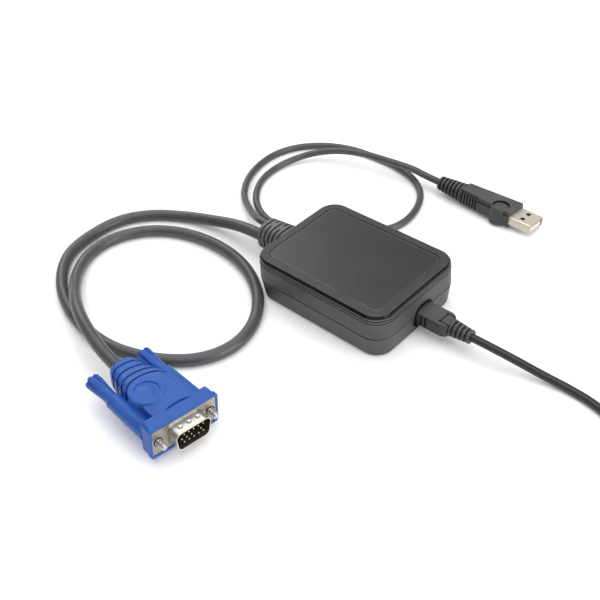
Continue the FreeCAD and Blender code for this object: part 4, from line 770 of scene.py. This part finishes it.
@dataclass
class AdapterBox:
    """Two-shell case with its banded bezel, satin panel and what it holds inside."""

    case_nodes: tuple[str, ...] = ("lower_shell", "upper_shell")
    chip_nodes: tuple[str, ...] = ("video_chip", "usb_chip", "memory_chip")
    screw_span_mm: Span = (54.0, 36.0)
    screw_face_mm: float = 0.9
    screw_head_mm: float = 1.8
    screw_head_radius_mm: float = 2.5
    screw_edge_mm: float = 0.45
    screw_slot_mm: Point = (2.9, 0.62, 1.1)
    screw_thread: Thread = Thread(1.08, 1.3, 1.0, 12.0, 0.8)

    def dress(self) -> None:
        """Dresses the case outside and inside."""
        dress(Finishes.CASE, *self.case_nodes)
        dress(Finishes.PANEL, "top_panel")
        dress(Finishes.BEZEL, "top_bezel")
        dress(Finishes.RELIEF, "strain_relief")
        dress(Finishes.BOARD, "circuit_board")
        dress(Finishes.CHIP, *self.chip_nodes)
        dress(Finishes.CRYSTAL, "crystal")
        dress(Finishes.CAN, "capacitors")
        dress(Finishes.HEADER, "vga_header", "usb_header")
        dress(Finishes.WIRE, "vga_wires", "usb_wires")
        dress(Finishes.SHELL, "mini_socket_shell")
        dress(Finishes.INSULATOR_AND_PAINTED_SHADOW, "mini_socket_tongue")

    def build(self) -> None:
        """Adds the beads round the top, a black ring round the port as a painted shadow of its gap, and the case
        screws.
        """
        beads = [
            Bead("panel_bead", (63.5, 44.5), 3.7, (0.0, 0.0, 22.6), 0.38, Finishes.LIP, "case_black"),
            Bead("lip_bead", (73.84, 54.84), 8.82, (0.0, 0.0, 21.38), 0.22, Finishes.LIP, "bezel_gloss"),
            Bead("shadow_line", (74.3, 55.3), 9.05, (0.0, 0.0, 19.2), 0.14, Finishes.SHADOW_LINE,
                 "bezel_gloss"),
            # Painted shadow: a black ring round the plug that stands for the shade in the port's gap
            Bead("port_gap_shadow", (10.0, 11.6), 4.0, (36.8, 1.6, 8.9), 0.95, Finishes.INSULATOR_AND_PAINTED_SHADOW, "socket_black",
                 (1.0, 0.0, 0.0)),
        ]
        for bead in beads:
            bead.build()
        self.screws()

    def screws(self) -> None:
        """Builds four pan-head screws with crossed slots, driven in from below."""
        bench = NodeBench("case_screw_set")
        face, head_top = self.screw_face_mm * MM, (self.screw_face_mm + self.screw_head_mm) * MM
        radius, edge = self.screw_head_radius_mm * MM, self.screw_edge_mm * MM
        brim = bench.cone("Brim", (radius - edge, radius), face, edge)
        head = bench.united(bench.rod("Head", radius, face + edge, head_top), brim)
        length, width, depth = self.screw_slot_mm
        for name, turn in (("Slot", 0.0), ("Cross Slot", math.pi / 2.0)):
            slot = bench.block(name, (length, width, 2.0 * depth))
            head = bench.cut(head, bench.moved(slot, name, (0.0, 0.0, face), (0.0, 0.0, turn)))
        screw = bench.joined(head, bench.thread(self.screw_thread, head_top))
        spots = bench.add("MeshGrid", {"Size X": bench.size("Span Length", self.screw_span_mm[0] * MM),
                                       "Size Y": bench.size("Span Width", self.screw_span_mm[1] * MM),
                                       "Vertices X": 2, "Vertices Y": 2})
        screws = bench.add("InstanceOnPoints", {"Points": spots, "Instance": screw})
        bench.piece(screws, Finishes.SCREW, ROOT_BODY, "screw_steel", ("case_screws",))


@dataclass
class VideoPlug:
    """Blue moulded video plug with its two thumbscrews."""

    shank_radius_mm: float = 1.6
    shank_length_mm: float = 38.7
    thread: Thread = Thread(1.25, 1.42, 0.635, 4.4, 0.3)
    ring_radius_mm: float = 1.92
    ring_wire_mm: float = 0.3
    ring_depth_mm: float = 0.22

    def dress(self) -> None:
        """Dresses hood, grips, shell, insulator and pins."""
        dress(Finishes.HOOD_BLUE, "vga_hood", "left_grip", "right_grip")
        dress(Finishes.PLUG_FACE, "vga_shell")
        dress(Finishes.INSULATOR_AND_PAINTED_SHADOW, "vga_insulator")
        dress(Finishes.PIN, "vga_pins")

    def build(self) -> list[Object]:
        """Builds the threaded jackscrews and the black rings in the plate's holes, a painted shadow of the gaps
        round the screws.

        Returns:
            The pieces that go with the plug.
        """
        joints = {joint["child"]: joint for joint in frame["joints"]}
        pair = [joints[side + "_thumbscrew"] for side in SIDES]
        pieces = [self.jackscrew(side, joint) for side, joint in zip(SIDES, pair)]
        left, right = (Vector(joint["pos_m"]) for joint in pair)
        axis = Vector(pair[0]["axis"])
        # Painted shadow: black rings in the plate's holes stand for the shade round the screws
        bench = NodeBench("jackscrew_hole_shadows")
        circle = bench.ring("Ring", self.ring_radius_mm * MM, bench.ROUND_SIDES)
        ring = bench.tube(circle, "Wire", self.ring_wire_mm * MM)
        first = left - axis * self.ring_depth_mm * MM
        rings = bench.row(ring, "Rings", len(pair), tuple(first), tuple(right - left), facing(axis))
        return pieces + [bench.piece(rings, Finishes.INSULATOR_AND_PAINTED_SHADOW, ROOT_BODY, "socket_black")]

    def jackscrew(self, side: str, joint: dict) -> Object:
        """One steel jackscrew with its rolled thread.

        Args:
            side: left or right.
            joint: the record's joint that turns it.

        Returns:
            The piece.
        """
        bench = NodeBench(side + "_threaded_jackscrew")
        shank = bench.rod("Shank", self.shank_radius_mm * MM, -self.shank_length_mm * MM, 0.0)
        screw = bench.joined(shank, bench.thread(self.thread, 0.0))
        screw = bench.moved(screw, "Screw", tuple(joint["pos_m"]), facing(joint["axis"]))
        return bench.piece(screw, Finishes.JACKSCREW, joint["child"], "jackscrew_steel",
                           (side + "_jackscrew",))


@dataclass
class UsbPlugs:
    """The two USB-A plugs and the mini-B plug, all in black hoods."""

    boss_mm: Point = (20.03, 87.61, 8.92)
    boss_axis: Point = (0.0355, 0.0869, 0.9956)
    boss_radius_mm: float = 4.12
    ring_mm: float = 0.28
    corner_share: float = 0.999

    def build(self) -> Object:
        """Builds the dark ring inside the thumb boss of the free USB plug, a painted shadow of the dish's edge.

        Returns:
            The ring.
        """
        across = 2.0 * self.boss_radius_mm
        corner = self.boss_radius_mm * self.corner_share
        # Painted shadow: a dark ring where the boss's dish falls into shade
        return Bead("thumb_shadow_ring", (across, across), corner, self.boss_mm, self.ring_mm, Finishes.INSULATOR_AND_PAINTED_SHADOW,
                    "plug_black", self.boss_axis).build()

    def dress(self) -> None:
        """Dresses hoods, shells, tongues and contacts."""
        dress(Finishes.PLUG, "usb_hood", "mini_plug_hood", "laptop_plug_hood")
        dress(Finishes.SHELL, "usb_shell", "laptop_plug_shell", "mini_plug_nose")
        dress(Finishes.TONGUE, "usb_tongue", "laptop_plug_tongue")
        dress(Finishes.CONTACT, "usb_contacts", "laptop_plug_contacts")
        dress(Finishes.INSULATOR_AND_PAINTED_SHADOW, "mini_plug_insert")


@dataclass
class CoilTie:
    """Releasable tie round the put-away turns: a ribbed band and its locking head."""

    coil_radius_mm: float = 20.0
    half_mm: float = 6.55
    top_mm: float = 8.95
    width_mm: float = 5.0
    thickness_mm: float = 0.6
    ribs: int = 11
    rib_pitch_mm: float = 0.85
    rib_mm: Point = (0.4, 0.36, 3.4)
    head_mm: Point = (3.2, 4.2, 6.4)
    head_sunk_mm: float = 0.1
    mouth_mm: float = 1.1
    mouth_play_mm: float = 0.2
    merge_mm: float = 0.01

    def build(self) -> Object:
        """Builds the tie in its own plane, X outwards and Y up, and stands it across the coil.

        Returns:
            The piece.
        """
        bench = NodeBench("ribbed_coil_tie")
        middle, wall = self.top_mm * MM / 2.0, self.thickness_mm * MM
        length, height = 2.0 * self.half_mm * MM, self.top_mm * MM
        outer = bench.round_loop("Outer", length, height, 2.0 * wall)
        inner = bench.round_loop("Inner", length - 2.0 * wall, height - 2.0 * wall, wall)
        side = bench.add("FillCurve", {"Curve": bench.joined(outer, inner)}, mode="TRIANGLES")
        width = bench.size("Band Width", self.width_mm * MM)
        raised = bench.add("ExtrudeMesh", {"Mesh": side, "Offset Scale": width, "Individual": False})
        band = bench.joined(raised, bench.add("FlipFaces", {"Mesh": side}))
        band = bench.add("MergeByDistance", {"Geometry": band, "Distance": self.merge_mm * MM})
        band = bench.moved(band, "Band", (0.0, middle, -self.width_mm * MM / 2.0))
        first = (-(self.ribs - 1) * self.rib_pitch_mm * MM / 2.0, self.top_mm * MM, 0.0)
        rib = bench.block("Rib", self.rib_mm)
        ribs = bench.row(rib, "Ribs", self.ribs, first, (self.rib_pitch_mm * MM, 0.0, 0.0))
        mouth_mm = (self.mouth_mm, 2.0 * self.head_mm[1], self.width_mm + self.mouth_play_mm)
        head = bench.cut(bench.block("Head", self.head_mm), bench.block("Mouth", mouth_mm))
        head_out = (self.half_mm + self.head_mm[0] / 2.0 - self.head_sunk_mm) * MM
        head = bench.moved(head, "Head", (head_out, middle, 0.0))
        tie = bench.joined(band, ribs, head)
        turn = math.radians(TIE_DEGREES)
        out = Vector((math.cos(turn), math.sin(turn), 0.0))
        stand = Matrix((out, Vector(UP), out.cross(Vector(UP)))).transposed()
        place = Vector((*COIL_CENTRE_MM, 0.0)) * MM + out * self.coil_radius_mm * MM
        tie = bench.moved(tie, "Tie", tuple(place), tuple(stand.to_euler()))
        return bench.piece(tie, Finishes.TIE, ROOT_BODY, "tie_black", ("coil_tie",))


class FarEnd(Enum):
    """What a cord ends in."""

    PLUG = "plug"
    CONNECTOR = "connector"


class Lay(Enum):
    """How a cord lies."""

    LOOSE = "loose"
    COILED = "coiled"


@dataclass
class Cord:
    """One free cord: a smooth spline through its route, with the pieces that go with it."""

    name: str
    diameter_mm: float
    length_mm: float
    route_mm: list[Point]
    exit_mm: Point
    far_end: FarEnd
    lay: Lay
    stands_for: tuple[str, ...]
    goes_with: tuple[str, ...]
    added: tuple[Object, ...] = ()
    finish: Finishes = Finishes.JACKET

    def build(self) -> None:
        curve = bpy.data.curves.new(self.name, "CURVE")
        curve.dimensions = "3D"
        spline = curve.splines.new("NURBS")
        spline.points.add(len(self.route_mm) - 1)
        for knot, point in zip(spline.points, self.route_mm):
            knot.co = (*metres(point), 1.0)
        spline.order_u = 3
        spline.use_endpoint_u = True
        spline.use_smooth = True
        curve.resolution_u = 10
        curve.bevel_depth = self.diameter_mm * MM / 2.0
        curve.bevel_resolution = 6
        curve.use_fill_caps = True
        curve.materials.append(self.finish.material())
        cord = bpy.data.objects.new(self.name, curve)
        bpy.context.scene.collection.objects.link(cord)
        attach(cord, ROOT_BODY)
        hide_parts(*self.stands_for)
        LOG.info("cord %s: %d route points", self.name, len(self.route_mm))


@dataclass
class CoilTurns:
    """Put-away turns of the laptop cord, in millimetres and degrees: three columns in two layers."""

    mid_radius: float = 20.2
    pitch: float = 3.64
    columns: int = 3
    floor_z: float = 1.8
    layer_rise: float = 3.6
    steps: int = 24
    shift_from: float = 255.0
    tie_lift: float = 0.65
    lift_degrees: float = 55.0
    climb_dip: float = 0.8
    leave_turn: float = 30.0

    def radius_of(self, turn: int) -> float:
        """Radius of a whole turn: inwards in the lower layer, outwards again in the upper one."""
        column = turn if turn < self.columns else 2 * self.columns - 1 - turn
        return self.mid_radius + self.pitch * ((self.columns - 1) / 2.0 - column)

    def lift_at(self, angle: float) -> float:
        """Height that the tie under the turns adds near it."""
        away = abs((angle - TIE_DEGREES + 180.0) % 360.0 - 180.0)
        return self.tie_lift * max(0.0, 1.0 - away / self.lift_degrees) ** 0.5

    def points(self) -> list[Point]:
        """Control points of the turns, counterclockwise from below the centre.

        Returns:
            The points in millimetres.
        """
        step = 360.0 / self.steps
        # The spline runs inside its control points, so these lie a little further out
        widen = 1.0 / (0.75 + 0.25 * math.cos(math.radians(step)))
        total = 360.0 * 2 * self.columns + self.leave_turn
        last = 2 * self.columns - 1
        found = []
        for index in range(int(total / step) + 1):
            turn, along = divmod(index * step, 360.0)
            here, after = min(int(turn), last), min(int(turn) + 1, last)
            share = max(0.0, (along - self.shift_from) / (360.0 - self.shift_from))
            ease = share * share * (3.0 - 2.0 * share)
            radius = self.radius_of(here) * (1.0 - ease) + self.radius_of(after) * ease
            layer = 0.0 if here < self.columns else 1.0
            if here == self.columns - 1:
                layer = ease
                radius -= self.climb_dip * math.sin(math.pi * ease)
            angle = index * step - 90.0
            height = self.floor_z + self.lift_at(angle) + self.layer_rise * layer
            found.append((COIL_CENTRE_MM[0] + radius * widen * math.cos(math.radians(angle)),
                          COIL_CENTRE_MM[1] + radius * widen * math.sin(math.radians(angle)), height))
        return found


@dataclass
class CordSet:
    """The three cords of the adapter with their routes in millimetres."""

    video_mm: float = 5.8
    usb_mm: float = 3.6
    video_length_mm: float = 519.0
    usb_length_mm: float = 456.2
    laptop_length_mm: float = 905.0

    def video_route(self) -> list[Point]:
        """Route of the video cord from the strain relief to the plug."""
        lead = self.video_mm / 2.0
        loop = [(-107.7, -8.7), (-123.7, -18.7), (-133.9, -32.8), (-134.9, -52.0), (-130.6, -68.4),
                (-114.8, -83.2), (-95.2, -92.1), (-77.2, -95.4), (-60.8, -95.3), (-47.3, -91.6),
                (-34.4, -85.7), (-22.6, -75.8), (-16.9, -62.2), (-19.2, -47.2), (-28.1, -34.1),
                (-41.0, -24.1), (-56.5, -17.5), (-73.6, -15.2), (-91.0, -17.0), (-105.9, -22.6),
                (-117.5, -32.5), (-123.9, -46.4), (-122.4, -61.1)]
        start = [(-54.6, -3.3, 11.0), (-64.0, -3.3, 10.6), (-76.3, -2.7, 8.2), (-91.8, -4.4, 4.8)]
        end = [(-113.7, -73.6, 4.0), (-100.3, -83.8, 7.6), (-85.7, -92.4, 12.2), (-70.5, -99.0, 13.6),
               (-49.26, -103.986, 11.046), (-37.889, -104.702, 10.648)]
        return start + [(x, y, lead) for x, y in loop] + end

    def usb_route(self) -> list[Point]:
        """Route of the thin cord from the strain relief to the USB plug."""
        lead = self.usb_mm / 2.0
        loop = [(-98.0, 23.7), (-107.7, 35.7), (-113.0, 50.1), (-113.8, 64.5), (-108.3, 77.6),
                (-97.1, 87.7), (-83.0, 93.7), (-67.1, 95.0), (-50.8, 95.0), (-36.1, 90.9),
                (-24.1, 82.2), (-17.5, 70.2), (-15.1, 57.7), (-17.5, 47.0), (-25.6, 38.9),
                (-36.4, 30.4), (-46.4, 22.4), (-57.3, 16.3), (-69.8, 15.3), (-82.3, 19.4),
                (-92.9, 27.7), (-100.6, 39.2), (-103.3, 52.0)]
        start = [(-54.6, 4.6, 11.0), (-63.5, 4.6, 11.0), (-73.3, 8.3, 8.2), (-85.0, 15.2, 4.4)]
        end = [(-100.7, 65.0, 2.6), (-92.4, 75.4, 5.0), (-79.9, 81.8, 7.6), (-64.7, 85.8, 8.8),
               (-48.8, 88.0, 8.6), (-36.3, 89.9, 8.2), (-26.757, 90.473, 6.476), (-17.364, 90.391, 6.148)]
        return start + [(x, y, lead) for x, y in loop] + end

    def laptop_route(self) -> list[Point]:
        """Route of the laptop cord: out of the mini plug, round the coil and into its plug."""
        start = [(61.7, 1.6, 8.9), (71.6, 1.6, 8.9), (82.0, 2.8, 7.4), (94.0, 5.8, 3.4), (106.0, 7.2, 1.8),
                 (118.0, 6.0, 1.8), (129.0, 1.8, 1.8), (139.5, -3.2, 1.8)]
        end = [(163.9, -0.611, 5.4), (170.4, 3.462, 5.4), (178.4, 9.0, 4.8), (184.735, 18.258, 3.8),
               (186.37, 27.5, 3.8)]
        return start + CoilTurns().points() + end

    def build(self, on_video_plug: list[Object], on_usb_plug: Object, tie: Object) -> None:
        """Builds the three cords.

        Args:
            on_video_plug: pieces of the video plug that aren't CAD nodes.
            on_usb_plug: the painted-shadow ring on the USB plug, no CAD node either.
            tie: the tie round the coil.
        """
        plug_on_video = ("strain_relief", "vga_hood", "vga_shell", "vga_insulator", "vga_pins", "left_grip",
                         "right_grip")
        plug_on_usb = ("usb_hood", "usb_shell", "usb_tongue", "usb_contacts")
        on_laptop = ("mini_plug_hood", "mini_plug_nose", "mini_plug_insert", "laptop_plug_hood",
                     "laptop_plug_shell", "laptop_plug_tongue", "laptop_plug_contacts")
        cords = [
            Cord("video_cord", self.video_mm, self.video_length_mm, self.video_route(), (-55.0, -3.3, 11.0),
                 FarEnd.CONNECTOR, Lay.LOOSE, ("vga_cable",), plug_on_video, tuple(on_video_plug)),
            Cord("usb_cord", self.usb_mm, self.usb_length_mm, self.usb_route(), (-55.0, 4.6, 11.0),
                 FarEnd.PLUG, Lay.LOOSE, ("usb_cable",), plug_on_usb, (on_usb_plug,)),
            Cord("laptop_cord", self.usb_mm, self.laptop_length_mm, self.laptop_route(), (62.1, 1.6, 8.9),
                 FarEnd.PLUG, Lay.COILED, ("laptop_cable", "laptop_coil", "laptop_tail"), on_laptop, (tie,),
                 Finishes.LAPTOP_JACKET),
        ]
        for cord in cords:
            cord.build()


# Studio


@dataclass
class Softbox:
    """Square soft light that looks at the middle of the floor."""

    name: str
    place: Point
    side: float
    watts: float

    def build(self) -> None:
        """Adds the light."""
        lamp = bpy.data.lights.new(self.name, "AREA")
        lamp.shape = "SQUARE"
        lamp.size = self.side
        lamp.energy = self.watts
        light = bpy.data.objects.new(self.name, lamp)
        light.location = self.place
        light.rotation_mode = "QUATERNION"
        light.rotation_quaternion = (Vector(ZERO) - Vector(self.place)).to_track_quat("-Z", "Y")
        bpy.context.scene.collection.objects.link(light)


@dataclass
class Studio:
    """Pale floor, soft light and the camera at the photographed view."""

    azimuth: float = 46.55
    elevation: float = 40.81
    roll: float = -5.58
    distance: float = 0.40521
    target: Point = (-0.01791, -0.01817, 0.0)
    lens_mm: float = 52.86
    sensor_mm: float = 36.0
    clip: Span = (0.01, 50.0)
    floor_half: float = 6.0
    floor_drop: float = 0.00002
    air_strength: float = 0.35

    def build(self) -> None:
        """Builds floor, world, lights and camera."""
        self.floor()
        self.light()
        self.camera()

    def floor(self) -> None:
        """Lays a wide pale floor."""
        mesh = bpy.data.meshes.new("studio_floor")
        half = self.floor_half
        corners = [(-half, -half, 0.0), (half, -half, 0.0), (half, half, 0.0), (-half, half, 0.0)]
        mesh.from_pydata(corners, [], [(0, 1, 2, 3)])
        mesh.materials.append(self.floor_paint())
        floor = bpy.data.objects.new("studio_floor", mesh)
        floor.location.z = -self.floor_drop
        bpy.context.scene.collection.objects.link(floor)

    def floor_paint(self) -> Material:
        """Matt white sheet with a barely seen unevenness."""
        bench = ShaderBench("studio_sheet")
        sheet = bench.tinted(bench.noise(400.0, 1.0), (0.93, 0.93, 0.93), (0.95, 0.95, 0.95))
        bench.feed("Base Color", sheet)
        bench.set("Roughness", 0.9)
        bench.set("Specular IOR Level", 0.1)
        bench.set("Emission Strength", 0.1)
        return bench.material

    def light(self) -> None:
        """Adds the soft studio light."""
        world = bpy.data.worlds.new("studio_air")
        world.use_nodes = True
        air = world.node_tree.nodes["Background"]
        air.inputs["Color"].default_value = (1.0, 1.0, 1.0, 1.0)
        air.inputs["Strength"].default_value = self.air_strength
        bpy.context.scene.world = world
        Softbox("overhead_box", (0.0, 0.0, 1.3), 1.6, 15.0).build()
        Softbox("back_box", (-1.12, 0.46, 0.8), 0.8, 5.0).build()
        Softbox("right_box", (1.2, 0.1, 0.5), 0.8, 11.0).build()

    def camera(self) -> None:
        """Sets the camera at the photographed view."""
        turn, rise, roll = (math.radians(angle) for angle in (self.azimuth, self.elevation, self.roll))
        back = Vector((math.sin(turn) * math.cos(rise), -math.cos(turn) * math.cos(rise), math.sin(rise)))
        right = Vector((math.cos(turn), math.sin(turn), 0.0))
        up = back.cross(right)
        rolled_right = math.cos(roll) * right + math.sin(roll) * up
        rolled_up = math.cos(roll) * up - math.sin(roll) * right
        place = Matrix((rolled_right, rolled_up, back)).transposed().to_4x4()
        place.translation = Vector(self.target) + back * self.distance
        lens = bpy.data.cameras.new("studio_camera")
        lens.lens = self.lens_mm
        lens.sensor_width = self.sensor_mm
        lens.clip_start, lens.clip_end = self.clip
        camera = bpy.data.objects.new("studio_camera", lens)
        camera.matrix_world = place
        bpy.context.scene.collection.objects.link(camera)
        bpy.context.scene.camera = camera
        bpy.context.scene.view_settings.view_transform = "Standard"


def main() -> None:
    """Builds the studio and every sub-assembly in order."""
    logging.basicConfig(level=logging.INFO, format="%(name)s: %(message)s")
    Studio().build()
    box, video_plug, usb_plugs = AdapterBox(), VideoPlug(), UsbPlugs()
    CordSet().build(video_plug.build(), usb_plugs.build(), CoilTie().build())
    box.build()
    box.dress()
    video_plug.dress()
    usb_plugs.dress()


if __name__ == "__main__":
    main()
